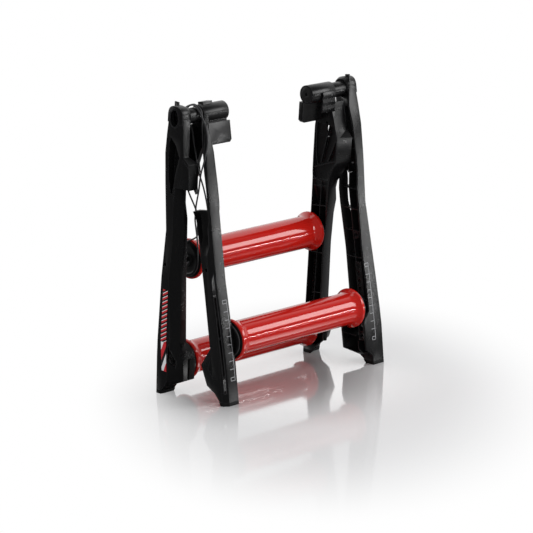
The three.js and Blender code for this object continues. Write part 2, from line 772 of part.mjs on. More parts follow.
// Rounded head of the outer leg, which narrows to a hub around the hinge collar.
function ear(outside) {
  const section = (out, size) => {
    const points = [];
    for (let i = 0; i <= earSteps; i++) {
      const angle = (i / earSteps) * Math.PI;
      const across = Math.sign(Math.cos(angle)) * Math.abs(Math.cos(angle)) ** earRoundShare;
      const up = earTop * Math.sin(angle) ** earRoundShare;
      points.push([size * (earHalfWidth * across - earCentreBack), size * up]);
    }
    points.push([points[earSteps][0], -earFoot], [points[0][0], -earFoot]);
    return points.map(([front, height]) => new THREE.Vector3(out, front, height));
  };
  const hub = outerLegInside + earHubIn;
  return skin([section(hub, earHubShare), section(hub + earSlope, 1), section(outside, 1)], fromTheSide);
}

function oval(halfWidth, halfHeight, from, to) {
  const points = new THREE.EllipseCurve(0, 0, halfWidth, halfHeight).getPoints(hingeSteps).slice(1);
  return sideSlab(points.map((point) => [point.x, point.y]), from, to);
}

function outerLeg(half) {
  const tables = [outerOutShares, outerInShares, outerBumpInShares, outerInBackShares, ...half.outerTables];
  const levels = stations(0, legEndShare, ...tables, outerSlantShares, outerSlantStartShares);
  const shell = skin(levels.map((down) => outerRing(half, down)));
  const outside = outerOutAt(0);
  const [ringWidth, ringHeight] = [eyeHalfWidth + eyeRingWidth, eyeHalfHeight + eyeRingWidth];
  const eyeRing = oval(ringWidth, ringHeight, outside - cutOverrun, outside + eyeRingStandOut);
  const finFrom = outerLegInside + finIn;
  const fin = box(finFrom, finFrom + finWidth, finFrontFrom, finFrontTo, -finTop, -finFoot);
  const bore = rod(eyeRadius, outerLegInside - cutOverrun, outerLegOutside - eyeFloorIn, 0, 0, hingeSteps);
  const eye = oval(eyeHalfWidth, eyeHalfHeight, outerLegInside, outerLegOutside + cutOverrun);
  const ribsFrom = outerLegInside - outerBumpStepIn + ribInset;
  const ribRows = [...ribShares, ...upperRibShares];
  const ribs = hollowRibs(ribRows, half, half.outerBackAt, ribsFrom, outerLegOutside);
  const hollow = cut(outerHollow(half), cut(ribs, axleSlots()), bosses(outerLegOutside));
  return cut(
    join(shell, ear(outside), eyeRing, fin),
    hollow,
    outerPocket(),
    outerEndPocket(),
    blockGroove(),
    bore,
    eye,
    sockets(),
    belowSole(footCapHeight + seatGap),
  );
}

// Deep three-cornered pocket below the eye
function outerPocket() {
  const floor = outerLegInside + outerLegWidth * outerPocketFloorShare;
  return shareSlab(outerPocketShares, floor, outerLegOutside + cutOverrun);
}

// Shallow pocket in the outer side of the outer leg's bump
function outerEndPocket() {
  const floor = outerLegInside + outerLegWidth * outerEndPocketFloorShare;
  return shareSlab(outerEndPocketShares, floor, outerLegOutside + cutOverrun);
}

function blockGroove() {
  const floor = outerLegInside + outerLegWidth * grooveFloorShare;
  return shareSlab(grooveShares, floor, outerLegOutside + cutOverrun);
}

// Foot cap: the leg's own outline carried down to the floor.
function footCap(ring, half) {
  const whole = skin([footCapTopShare, legEndShare].map((place) => ring(half, place * legLength)));
  return cut(whole.intersect(belowSole(footCapHeight)), belowSole(0));
}

// Ground pad on the flat of an end bump: it lies behind the back edge, between two levels.
function endPad(from, to, backAt, inside, outside) {
  const [top, bottom] = [from, to].map((place) => place * legLength);
  const [topBack, bottomBack] = [backAt(top) - seatGap, backAt(bottom) - seatGap];
  const outline = [
    [topBack, top], [bottomBack, bottom], [bottomBack - padThickness, bottom], [topBack - padThickness, top],
  ];
  return sideSlab(outline, inside, outside);
}

function innerPad(half) {
  const inside = innerLegInside + padMargin;
  return endPad(innerPadFromShare, innerPadToShare, half.innerBackAt, inside, inside + innerPadWidth);
}

function outerPad(half) {
  const inside = outerLegInside - outerBumpStepIn + padMargin;
  return endPad(outerPadFromShare, outerPadToShare, half.outerBackAt, inside, inside + outerPadWidth);
}

// Plain two-tone trim panels follow the outer leg's outer face.
function trimPanel(from, to) {
  const rows = [outerOutShares, trimFrontShares, trimBackShares].flat().map((row) => row[0] * legLength);
  const inner = [...new Set(rows)].filter((down) => down > from && down < to).sort((a, b) => a - b);
  return skin(
    [from, ...inner, to].map((down) => {
      const inside = outerOutAt(down) + seatGap;
      const front = toeReach * share(trimFrontShares, down / legLength);
      const back = toeReach * share(trimBackShares, down / legLength);
      return [
        [inside, front], [inside, back], [inside + trimThickness, back], [inside + trimThickness, front],
      ].map(levelPoint(down));
    }),
  );
}

// Ridged plate on the back of the barrel's foot
function ridgePlate() {
  const pitch = ridgePlateLength / ridgeCount;
  const outline = [[-ridgePlateBack, ridgePlateTop]];
  outline.push([-ridgePlateBack, ridgePlateTop + ridgePlateLength]);
  const face = -ridgePlateBack - ridgePlateThickness;
  for (let i = ridgeCount - 1; i >= 0; i--) {
    const top = ridgePlateTop + i * pitch;
    outline.push([face, top + pitch], [face - ridgeHeight, top + pitch / 2]);
  }
  outline.push([face, ridgePlateTop]);
  return sideSlab(outline.reverse(), ridgePlateInside, ridgePlateInside + ridgePlateWidth);
}

// Hinge parts, on the fold axis
function hingePin() {
  const headFrom = outerLegInside + collarReachIn + seatGap;
  const shank = rod(pinRadius, barrelInside + plugLength + 2 * seatGap, headFrom, 0, 0, pinSteps);
  return join(shank, rod(pinHeadRadius, headFrom, headFrom + pinHeadLength, 0, 0, headSteps));
}

function hingeCollar() {
  const from = innerLegInside + barrelRunIn + seatGap;
  const sleeve = rod(collarRadius, from, outerLegInside + collarReachIn, 0, 0, hingeSteps);
  return cut(sleeve, rod(pinRadius + seatGap, from - cutOverrun, outerLegOutside, 0, 0, pinSteps));
}

function barrelPlug() {
  const outside = barrelInside + plugLength;
  const disc = rod(plugRadius, barrelInside, outside, 0, 0, headSteps);
  return cut(disc, rod(plugHoleRadius, barrelInside - cutOverrun, outside + cutOverrun, 0, 0, smallSteps));
}

// Roller tube: a straight barrel that flares to a rounded rim at each end
function rollerTube() {
  const bore = tubeRadius - tubeWall;
  const flareFrom = rollerHalf - rimWidth - flareLength;
  const rimFrom = rollerHalf - rimWidth;
  const flare = flareShares.map(([along, rise]) => [
    flareFrom + along * flareLength,
    mix(tubeRadius, rimRadius, rise),
  ]);
  const rim = [];
  for (let i = 0; i <= rimSegments; i++) {
    const angle = (i / rimSegments) * (Math.PI / 2);
    rim.push([
      rollerHalf - rimRound + rimRound * Math.sin(angle),
      rimRadius - rimRound + rimRound * Math.cos(angle),
    ]);
  }
  const seat = [
    [rollerHalf, capRadius + seatGap],
    [rollerHalf - capSeatDepth, capRadius + seatGap],
    [rollerHalf - capSeatDepth, bore],
  ];
  const half = [...flare, [rimFrom, rimRadius], ...rim, ...seat];
  const mirrored = half.map(([along, radius]) => [-along, radius]).reverse();
  return turned([...half, ...mirrored], rollerSteps);
}

// End cap: spigot in the bore, flange in the seat, bearing pocket open outwards
function endCap(face) {
  const flangeFrom = rollerHalf - capSeatDepth + seatGap;
  const pocketFloor = flangeFrom + legWall;
  return [
    [flangeFrom - capSpigotLength, tubeRadius - tubeWall - seatGap],
    [flangeFrom, tubeRadius - tubeWall - seatGap],
    [flangeFrom, capRadius],
    ...face,
    [face[face.length - 1][0], bearingOuter + seatGap],
    [pocketFloor, bearingOuter + seatGap],
    [pocketFloor, noseRadius + turnGap],
    [flangeFrom - capSpigotLength, noseRadius + turnGap],
  ];
}

function plainCap() {
  const outside = rollerHalf + capStandOut;
  const face = [
    [outside, capRadius], [outside, capRecessOuter], [outside - capRecess, capRecessOuter - capRecess / 2],
    [outside - capRecess, capRecessInner], [outside, capRecessInner - capRecess / 2],
  ];
  return turned(endCap(face), rollerSteps);
}

function pulleyCap() {
  const pulleyFrom = rollerHalf + seatGap;
  const outside = pulleyFrom + pulleyWidth;
  const floor = pulleyRadius - grooveDepth;
  const face = [
    [pulleyFrom, capRadius], [pulleyFrom, pulleyRadius],
    [grooveOut - grooveFloor / 2, floor], [grooveOut + grooveFloor / 2, floor],
    [outside, pulleyRadius],
    [outside, capRecessOuter - capRecess], [outside - capRecess, capRecessOuter - 2 * capRecess],
    [outside - capRecess, capRecessInner], [outside, capRecessInner - capRecess],
  ];
  return turned(endCap(face), rollerSteps);
}

function bearing() {
  const from = rollerHalf - capSeatDepth + seatGap + legWall + seatGap;
  const to = from + bearingWidth;
  const chamfer = bearingChamfer;
  const ring = [
    [from, bearingInner], [from, bearingOuter], [to - chamfer, bearingOuter],
    [to, bearingOuter - chamfer], [to, bearingInner],
  ];
  return turned(ring, bearingSteps);
}

function axle() {
  const reach = socketFace + axleEndLength;
  return rod(axleRadius, -reach, reach, 0, 0, smallSteps);
}

// Axle end: a hexagon that sits in a leg socket, with a round nose that reaches the bearing
function axleEnd() {
  const noseFrom = rollerHalf - capSeatDepth + legWall + 3 * seatGap + bearingWidth;
  const hexFrom = socketFace - axleEndStandIn;
  const hexRadius = (axleEndAcross / 2) * acrossToCorner;
  const hexagon = rod(hexRadius, hexFrom, socketFace + axleEndLength, 0, 0, hexSides);
  const nose = rod(noseRadius, noseFrom, socketFace, 0, 0, smallSteps);
  const bore = rod(axleRadius + seatGap, noseFrom - cutOverrun, socketFace + socketDepth, 0, 0, smallSteps);
  return cut(join(hexagon, nose), bore);
}

// Drive belt route on the left side, in order round the loop. Each stretch is laid out from what it passes:
// the upper rear axle, the fold axis or the front axle. Its points are [out past the groove, y, z] steps.
const upperAxlePlace = [grooveOut, axleSideways(upperSocketDown), axleHeight(upperSocketDown)];
const foldPlace = [grooveOut, 0, hingeHeight];
const frontAxlePlace = [grooveOut, -axleSideways(frontRollerDown), axleHeight(frontRollerDown)];
const stretch = (place, steps) => steps.map((step) => step.map((length, i) => place[i] + length));
const beltRoute = [
  ...stretch(upperAxlePlace, [
    [0, 2.7, -38.9], [0, -17.1, -35.1], [0, -32.3, -21.8], [0, -38.9, -2.7], [-0.4, -39.7, 19.5],
    [-2, -37.2, 47], [-2.6, -35.4, 62.3], [-1.7, -33.8, 80.5],
  ]),
  ...stretch(foldPlace, [
    [1.8, 26.1, -260.7], [6.8, 18, -240.5], [10.8, 12, -227.5], [14.8, 5, -215.5], [17.8, -3, -198.5],
    [22.8, -14, -177.5], [30.3, -27, -151.5], [37.3, -40, -130.5], [39.8, -50, -112.5],
    [37.3, -55.5, -92.5], [30.3, -55.5, -70.5], [23.8, -50.5, -47.5], [20.3, -42, -25.5], [19.8, -32, -8.5],
    [20.8, -20.6, 10.1], [21.8, -3, 24], [23.3, 14, 20], [23.8, 23, 4.5], [23.8, 22.4, -7.5],
    [22.8, 14.4, -18.5], [20.8, 8, -33.5], [16.8, 4.4, -80.9], [11.3, -2, -137.5], [4.3, -10.9, -179.8],
  ]),
  ...stretch(frontAxlePlace, [
    [0.1, 61.8, 312.3], [0.1, 52.3, 212.7], [0.3, 45.7, 122.8], [1, 44, 92.8], [1.8, 42.7, 74.9],
    [2.1, 40.5, 63.1], [2.1, 33, 57.7], [1.2, 7.6, 46.7], [0, -17.2, 35.1], [0, -32.4, 21.6], [0, -39, 2.5],
    [0, -35.2, -17.3], [0, -21.9, -32.5], [0, -2.8, -39.1], [0, 17, -35.3], [0, 32.2, -22], [0, 38.8, -2.9],
    [-0.3, 40, 19.9], [-2, 37.1, 46.4], [-2.6, 35.3, 62.2], [-1.7, 33.8, 80.9], [0, 34.2, 109],
    [0.1, 37, 164], [0.1, 43.4, 243.8],
  ]),
  ...stretch(foldPlace, [
    [0.2, -29.7, -223.2], [3.8, -25.4, -173.3], [9.3, -21.1, -113.5], [11.3, -19.4, -60.3],
    [13.3, -21.6, -23.9], [14.8, -23.6, -2.5], [15.5, -18.6, 15], [15.8, 0, 24.5], [16.8, 17, 21.5],
    [18.8, 34, 11.5], [20.8, 44, -10.5], [20.8, 47, -42.5], [20.8, 48, -92.5], [18.8, 46.5, -142.5],
    [8.8, 39, -192.5], [0.8, 26, -230.5],
  ]),
  ...stretch(upperAxlePlace, [
    [0, -42.8, 115.7], [0.8, -42.6, 92.7], [1.8, -42.7, 74.5], [2.2, -40.7, 63.1], [2.1, -33.1, 57.7],
    [1.2, -7.6, 46.7], [0, 17.1, 35.1], [0, 32.3, 21.8], [0, 38.9, 2.7], [0, 35.1, -17.1], [0, 21.8, -32.3],
  ]),
];

// Least clear space between two stretches of the belt, from points spread evenly along its closed route.
function leastBeltGap(points) {
  let least = Infinity;
  for (let i = 0; i < points.length; i++)
    for (let j = i + beltNearSteps; j < points.length && j - i <= points.length - beltNearSteps; j++)
      least = Math.min(least, points[i].distanceTo(points[j]));
  return least - 2 * beltRadius;
}

// Round belt, laid along its closed route in two lengths that are welded end to end.
function belt() {
  const route = new THREE.CatmullRomCurve3(
    beltRoute.map(([out, y, z]) => new THREE.Vector3(-out, y, z)),
    true,
    "centripetal",
  );
  const length = (from, to) => {
    const count = beltSteps * 2;
    const placeAt = (step) => route.getPointAt(mix(from, to, step / count) % 1);
    const places = Array.from({ length: count + 1 }, (_, step) => placeAt(step));
    const path = new THREE.CatmullRomCurve3(places);
    const section = new THREE.Shape();
    for (let i = 0; i < beltSides; i++) {
      const angle = (i / beltSides) * 2 * Math.PI;
      const corner = new THREE.Vector2(beltRadius * Math.cos(angle), beltRadius * Math.sin(angle));
      if (i === 0) section.moveTo(corner.x, corner.y);
      else section.lineTo(corner.x, corner.y);
    }
    const sweep = { steps: beltSteps, bevelEnabled: false, extrudePath: path };
    return solid(new THREE.ExtrudeGeometry(section, sweep));
  };
  const half = 1 / 2;
  const spread = route.getSpacedPoints(beltSteps * 4).slice(1);
  const around = route.getLength().toFixed(1);
  const least = leastBeltGap(spread).toFixed(2);
  console.log(`Belt: ${around} mm around, least gap to itself ${least} mm`);
  return join(length(0, half + beltWeldShare), length(half, 1 + beltWeldShare));
}

// Finishes
function finish(color, roughness, metalness = 0) {
  return new THREE.MeshStandardMaterial({ color, roughness, metalness });
}
const legPlastic = finish(0x232325, 0.45);
const rollerRed = finish(0xb81c15, 0.18);
const capPlastic = finish(0x151516, 0.4);
const rubber = finish(0x0e0e0f, 0.7);
const steel = finish(0x9a9c9f, 0.3, 1);
const beltUrethane = finish(0x3a3a3c, 0.5);
const trimRed = finish(0xc8202a, 0.35);
const trimWhite = finish(0xe8e8ea, 0.35);

function turnedRound(mesh) {
  mesh.rotation.z = Math.PI;
  return mesh;
}

// One roller with its caps, bearings, axle and axle ends, on its axle line.
function roller(name, down, leftCap, rightCap) {
  const group = new THREE.Group();
  group.position.set(0, axleFront, -down);
  group.add(part(`${name}_tube`, rollerTube(), rollerRed));
  group.add(turnedRound(part(`${name}_${leftCap.end}_cap`, leftCap.body(), capPlastic)));
  group.add(part(`${name}_${rightCap.end}_cap`, rightCap.body(), capPlastic));
  group.add(part(`${name}_axle`, axle(), steel));
  for (const [side, flip] of [[leftCap.end, true], [rightCap.end, false]]) {
    const race = part(`${name}_${side}_bearing`, bearing(), steel);
    const end = part(`${name}_${side}_axle_end`, axleEnd(), capPlastic);
    for (const piece of [race, end]) group.add(flip ? turnedRound(piece) : piece);
  }
  return group;
}

// One half frame: the outer leg on its negative X side, the inner leg on its positive X side.
function halfFrame(half, profile, outerSide, innerSide) {
  const group = new THREE.Group();
  group.position.z = hingeHeight;
  group.rotation.x = splay;
  const outer = new THREE.Group();
  outer.scale.x = -1;
  const trimMiddle = trimMiddleShare * legLength;
  const lightTrim = trimPanel(trimMiddle + trimSplitGap, trimToShare * legLength);
  const redTrim = trimPanel(trimFromShare * legLength, trimMiddle);
  outer.add(part(`${half}_${outerSide}_leg`, outerLeg(profile), legPlastic));
  outer.add(part(`${half}_${outerSide}_foot_cap`, footCap(outerRing, profile), rubber));
  outer.add(part(`${half}_${outerSide}_end_pad`, outerPad(profile), rubber));
  outer.add(part(`${half}_${outerSide}_trim_light`, lightTrim, trimWhite));
  outer.add(part(`${half}_${outerSide}_trim_red`, redTrim, trimRed));
  const inner = new THREE.Group();
  inner.add(part(`${half}_${innerSide}_leg`, innerLeg(profile), legPlastic));
  inner.add(part(`${half}_${innerSide}_foot_cap`, footCap(innerRing, profile), rubber));
  inner.add(part(`${half}_${innerSide}_end_pad`, innerPad(profile), rubber));
  inner.add(part(`${innerSide}_hinge_pin`, hingePin(), steel));
  inner.add(part(`${innerSide}_hinge_collar`, hingeCollar(), legPlastic));
  inner.add(part(`${innerSide}_barrel_plug`, barrelPlug(), capPlastic));
  inner.add(part(`${innerSide}_ridge_plate`, ridgePlate(), legPlastic));
  group.add(outer, inner);
  return group;
}

const leftPulley = { end: "left", body: pulleyCap };
const leftPlain = { end: "left", body: plainCap };
const rightPlain = { end: "right", body: plainCap };
const root = new THREE.Group();
const rear = halfFrame("rear", rearHalf, "left", "right");
rear.add(
  roller("upper_rear_roller", upperSocketDown, leftPulley, rightPlain),
  roller("lower_rear_roller", rearRollerDown, leftPlain, rightPlain),
);
const front = halfFrame("front", frontHalf, "right", "left");
front.add(
  roller("front_roller", frontRollerDown, rightPlain, leftPulley),
);
const frontTurn = new THREE.Group();
frontTurn.rotation.z = Math.PI;
frontTurn.add(front);
root.add(rear, frontTurn, part("drive_belt", belt(), beltUrethane));
root.position.y = -originShift;

export default root;
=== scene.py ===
"""Folding bike rollers, folded and standing on end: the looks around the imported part.

Metres in the row frame, +Z up, X along the rollers. Sizes in the dataclasses are millimetres.
"""

import logging
import math
from dataclasses import dataclass, field
from enum import Enum
from typing import Any

import bpy
from mathutils import Matrix, Vector


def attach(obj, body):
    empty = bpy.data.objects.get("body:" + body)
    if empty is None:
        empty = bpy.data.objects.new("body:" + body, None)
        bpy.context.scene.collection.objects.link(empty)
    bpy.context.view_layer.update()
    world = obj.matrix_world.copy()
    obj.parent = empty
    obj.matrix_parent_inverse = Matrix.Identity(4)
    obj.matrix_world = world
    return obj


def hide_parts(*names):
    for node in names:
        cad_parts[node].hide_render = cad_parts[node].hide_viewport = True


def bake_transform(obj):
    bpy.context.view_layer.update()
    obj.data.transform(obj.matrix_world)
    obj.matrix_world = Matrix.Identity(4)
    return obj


logging.basicConfig(level=logging.INFO, format="%(name)s: %(message)s")
log = logging.getLogger("bike_rollers")

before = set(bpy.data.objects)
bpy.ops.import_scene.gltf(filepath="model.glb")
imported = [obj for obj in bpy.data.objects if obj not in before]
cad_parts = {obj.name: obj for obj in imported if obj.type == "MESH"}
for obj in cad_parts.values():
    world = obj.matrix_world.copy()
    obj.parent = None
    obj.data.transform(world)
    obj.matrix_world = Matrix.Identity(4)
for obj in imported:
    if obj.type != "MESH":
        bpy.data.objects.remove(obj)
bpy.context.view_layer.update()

MM = 0.001
# Vertices nearer than this, in metres, are one: on new pieces, and on copies of CAD nodes.
MERGE_NEW = 1e-6
MERGE_COPY = 1e-5
# Edges sharper than this are rounded, on turned and on moulded pieces, with this many facets.
TURNED_EDGE_DEG = 28.0
MOULDED_EDGE_DEG = 30.0
EDGE_FACETS = 2
# Shading stays smooth up to this far past the angle at which edges are rounded.
SMOOTH_MARGIN_DEG = 4.0
# Strength of each finer octave of noise against the one before it.
OCTAVE_SHARE = 0.6
WHITE = (1, 1, 1, 1)

Point = tuple[float, float]
Place = tuple[float, float, float]
Table = list[Point]


class RollerEnd(Enum):
    """How a roller's end is closed."""

    PLAIN = "plain"
    PULLEY = "pulley"


class LegKind(Enum):
    """Which of the two leg mouldings of a half frame a leg is."""

    OUTER = "outer"
    INNER = "inner"


# Small helpers


def linear(code: str) -> tuple[float, float, float, float]:
    """Turns an sRGB hex colour to linear RGBA.

    Args:
        code: Six hex digits, with or without a leading hash.

    Returns:
        Red, green, blue and an alpha of 1.
    """
    digits = code.lstrip("#")
    shares = [int(digits[i : i + 2], 16) / 255 for i in (0, 2, 4)]
    red, green, blue = (s / 12.92 if s <= 0.04045 else ((s + 0.055) / 1.055) ** 2.4 for s in shares)
    return red, green, blue, 1.0


def add_node(
    tree: bpy.types.NodeTree, kind: str, settings: dict[str, Any], **links: Any
) -> bpy.types.Node:
    """Adds a shader node with its settings and links.

    Args:
        tree: The material's or world's node tree.
        kind: Blender's name of the node.
        settings: Properties by name, and input values by socket name or index.
        **links: Input's name, spaces as underscores, or iN for index N, with the output that feeds it.

    Returns:
        The new node.
    """
    node = tree.nodes.new(kind)
    for name, value in settings.items():
        if isinstance(name, str) and hasattr(node, name):
            setattr(node, name, value)
        else:
            node.inputs[name].default_value = value
    for name, output in links.items():
        target = int(name[1:]) if name[0] == "i" and name[1:].isdigit() else name.replace("_", " ")
        tree.links.new(output, node.inputs[target])
    return node


def only(piece: bpy.types.Object) -> None:
    """Leaves one object selected and active.

    Args:
        piece: The object.
    """
    bpy.ops.object.select_all(action="DESELECT")
    piece.select_set(True)
    bpy.context.view_layer.objects.active = piece


def interpolate(table: Table, place: float) -> float:
    """Reads a table of rows at a place between them.

    Args:
        table: Rows of (place, value), rising by place.
        place: Where to read.

    Returns:
        The value, straight between rows and level past the ends.
    """
    if place <= table[0][0]:
        return table[0][1]
    for (low, first), (high, second) in zip(table, table[1:]):
        if place <= high:
            return first + (second - first) * (place - low) / (high - low)
    return table[-1][1]


# Finishes


@dataclass(frozen=True)
class Finish:
    """A named surface: what the material is and how its surface was made."""

    name: str
    colour: str
    roughness: float
    grain_mm: float
    grain_height_mm: float

    def start(self) -> tuple[bpy.types.Material, bpy.types.NodeTree, bpy.types.Node]:
        """Makes an empty material with a surface shader.

        Returns:
            The material, its node tree and its Principled shader.
        """
        material = bpy.data.materials.new(self.name)
        material.use_nodes = True
        tree = material.node_tree
        tree.nodes.clear()
        shader = add_node(tree, "ShaderNodeBsdfPrincipled", {"Base Color": linear(self.colour)})
        add_node(tree, "ShaderNodeOutputMaterial", {}, Surface=shader.outputs["BSDF"])
        return material, tree, shader

    def noise(
        self, tree: bpy.types.NodeTree, size_mm: float, detail: float, stretch: Place = (1, 1, 1)
    ) -> Any:
        """Adds noise of a real size on object coordinates.

        Args:
            tree: The material's node tree.
            size_mm: Size of one grain in millimetres.
            detail: Octaves of the noise.
            stretch: How many times finer the grain is along X, Y and Z.

        Returns:
            The noise's factor output.
        """
        place = add_node(tree, "ShaderNodeTexCoord", {})
        scaled = add_node(tree, "ShaderNodeMapping", {"Scale": stretch}, Vector=place.outputs["Object"])
        noise = add_node(
            tree,
            "ShaderNodeTexNoise",
            {"Scale": 1 / (size_mm * MM), "Detail": detail, "Roughness": OCTAVE_SHARE},
            Vector=scaled.outputs["Vector"],
        )
        return noise.outputs[0]

    def range(
        self, tree: bpy.types.NodeTree, value: Any, low: float, high: float, span: Point = (0.3, 0.7)
    ) -> Any:
        """Maps a pattern to a range of values.

        Args:
            tree: The material's node tree.
            value: The pattern's output.
            low: Value at the pattern's low end.
            high: Value at the pattern's high end.
            span: The pattern's own ends.

        Returns:
            The mapped output.
        """
        mapped = add_node(
            tree,
            "ShaderNodeMapRange",
            {"From Min": span[0], "From Max": span[1], "To Min": low, "To Max": high},
            Value=value,
        )
        return mapped.outputs["Result"]

    def bump(
        self, tree: bpy.types.NodeTree, shader: bpy.types.Node, height: Any, depth_mm: float
    ) -> None:
        """Raises the surface by a pattern.

        Args:
            tree: The material's node tree.
            shader: The surface shader.
            height: The pattern's output.
            depth_mm: Height of the pattern in millimetres.
        """
        depth = {"Strength": 1.0, "Distance": depth_mm * MM}
        node = add_node(tree, "ShaderNodeBump", depth, Height=height)
        tree.links.new(node.outputs["Normal"], shader.inputs["Normal"])

    def tint(self, tree: bpy.types.NodeTree, factor: Any, first: str, second: str) -> Any:
        """Mixes two hex colours by a pattern of 0 to 1."""
        ends = {"data_type": "RGBA", 6: linear(first), 7: linear(second)}
        return add_node(tree, "ShaderNodeMix", ends, i0=factor).outputs[2]


@dataclass(frozen=True)
class MouldedFinish(Finish):
    """Moulded plastic or rubber: spark-eroded grain, a faint flow cloud and scuffs that shine."""

    scuffed: str = "#2c2c2e"
    cloud_mm: float = 60.0
    scuff_mm: float = 7.0
    specular: float = 0.5
    # The edge fields paint a highlight along edges: its colour, the bevel radius and samples that find
    # the edges, the turn and its strength.
    edge_highlight_colour: str = ""
    edge_mm: float = 1.1
    edge_samples: int = 6
    edge_turn: Point = (0.985, 0.8)
    edge_highlight_strength: float = 0.75
    cloud_sway: Point = (0.05, 0.06)
    scuff_span: Point = (0.56, 0.74)
    scuff_stretch: Place = (1.0, 1.0, 0.35)
    scuff_polish: float = 0.07
    cloud_octaves: float = 3.0
    scuff_octaves: float = 4.0
    grain_octaves: float = 2.0
    ior: float = 1.52

    def painted_edge_highlight(self, tree: bpy.types.NodeTree, colour: Any) -> Any:
        """Paints a highlight along a surface's edges, where a rounded edge would catch light.

        Args:
            tree: The material's node tree.
            colour: The surface's colour output.

        Returns:
            The colour with a painted highlight along its edges.
        """
        rounding = {"samples": self.edge_samples, "Radius": self.edge_mm * MM}
        rounded = add_node(tree, "ShaderNodeBevel", rounding)
        straight = add_node(tree, "ShaderNodeNewGeometry", {})
        along = add_node(
            tree,
            "ShaderNodeVectorMath",
            {"operation": "DOT_PRODUCT"},
            i0=rounded.outputs["Normal"],
            i1=straight.outputs["Normal"],
        )
        edge = self.range(tree, along.outputs["Value"], 0.0, self.edge_highlight_strength, self.edge_turn)
        # Mixes the painted edge highlight colour over the surface's colour.
        wear_and_edge_highlight = {"data_type": "RGBA", 7: linear(self.edge_highlight_colour)}
        return add_node(tree, "ShaderNodeMix", wear_and_edge_highlight, i0=edge, i6=colour).outputs[2]

    def make(self) -> bpy.types.Material:
        """Makes the moulded surface.

        Returns:
            The material.
        """
        material, tree, shader = self.start()
        cloud = self.noise(tree, self.cloud_mm, self.cloud_octaves)
        scuff = self.noise(tree, self.scuff_mm, self.scuff_octaves, self.scuff_stretch)
        grain = self.noise(tree, self.grain_mm, self.grain_octaves)
        wear_and_edge_highlight = self.range(tree, scuff, 0.0, 1.0, self.scuff_span)
        colour = self.tint(tree, wear_and_edge_highlight, self.colour, self.scuffed)
        # Paints a highlight along the edges, where a rounded edge would catch light.
        if self.edge_highlight_colour:
            colour = self.painted_edge_highlight(tree, colour)
        tree.links.new(colour, shader.inputs["Base Color"])
        below, above = self.cloud_sway
        level = self.range(tree, cloud, self.roughness - below, self.roughness + above)
        polish = {"operation": "MULTIPLY_ADD", 1: -self.scuff_polish}
        rougher = add_node(tree, "ShaderNodeMath", polish, i0=wear_and_edge_highlight, i2=level)
        tree.links.new(rougher.outputs["Value"], shader.inputs["Roughness"])
        shader.inputs["Specular IOR Level"].default_value = self.specular
        shader.inputs["IOR"].default_value = self.ior
        self.bump(tree, shader, grain, self.grain_height_mm)
        return material


@dataclass(frozen=True)
class GlossFinish(Finish):
    """Gloss-moulded ABS tube: near-mirror skin, faint ripple, and fine rings where tyres have run."""

    run_colour: str = "#b01a13"
    ripple_mm: float = 70.0
    ring_mm: float = 3.0
    coat: float = 0.15
    coat_roughness: float = 0.04
    ring_span: Point = (0.5, 0.8)
    ring_stretch: Place = (1.0, 0.02, 0.02)
    ring_wear: float = 0.01
    dust_sway: Point = (0.01, 0.02)
    ripple_octaves: float = 1.0
    ring_octaves: float = 3.0
    dust_octaves: float = 3.0
    ior: float = 1.54

    def make(self) -> bpy.types.Material:
        """Makes the glossy tube surface.

        Returns:
            The material.
        """
        material, tree, shader = self.start()
        ripple = self.noise(tree, self.ripple_mm, self.ripple_octaves)
        rings = self.noise(tree, self.ring_mm, self.ring_octaves, self.ring_stretch)
        dust = self.noise(tree, self.grain_mm, self.dust_octaves)
        run = self.range(tree, rings, 0.0, 1.0, self.ring_span)
        tree.links.new(self.tint(tree, run, self.colour, self.run_colour), shader.inputs["Base Color"])
        below, above = self.dust_sway
        dusty = self.range(tree, dust, self.roughness - below, self.roughness + above)
        wear = {"operation": "MULTIPLY_ADD", 1: self.ring_wear}
        rougher = add_node(tree, "ShaderNodeMath", wear, i0=run, i2=dusty)
        tree.links.new(rougher.outputs["Value"], shader.inputs["Roughness"])
        shader.inputs["IOR"].default_value = self.ior
        shader.inputs["Coat Weight"].default_value = self.coat
        shader.inputs["Coat Roughness"].default_value = self.coat_roughness
        self.bump(tree, shader, ripple, self.grain_height_mm)
        return material


@dataclass(frozen=True)
class TurnedSteelFinish(Finish):
    """Zinc-plated turned steel: tool rings round the axle line and a soft cloud of plating."""

    cloud_mm: float = 5.0
    cloud_colour: str = "#b7b9bb"
    ring_stretch: Place = (1.0, 0.04, 0.04)
    ring_sway: Point = (0.08, 0.1)
    ring_octaves: float = 2.0
    cloud_octaves: float = 3.0

    def make(self) -> bpy.types.Material:
        """Makes the plated steel surface.

        Returns:
            The material.
        """
        material, tree, shader = self.start()
        rings = self.noise(tree, self.grain_mm, self.ring_octaves, self.ring_stretch)
        cloud = self.noise(tree, self.cloud_mm, self.cloud_octaves)
        plating = self.tint(tree, cloud, self.colour, self.cloud_colour)
        tree.links.new(plating, shader.inputs["Base Color"])
        below, above = self.ring_sway
        level = self.range(tree, rings, self.roughness - below, self.roughness + above)
        tree.links.new(level, shader.inputs["Roughness"])
        shader.inputs["Metallic"].default_value = 1.0
        self.bump(tree, shader, rings, self.grain_height_mm)
        return material


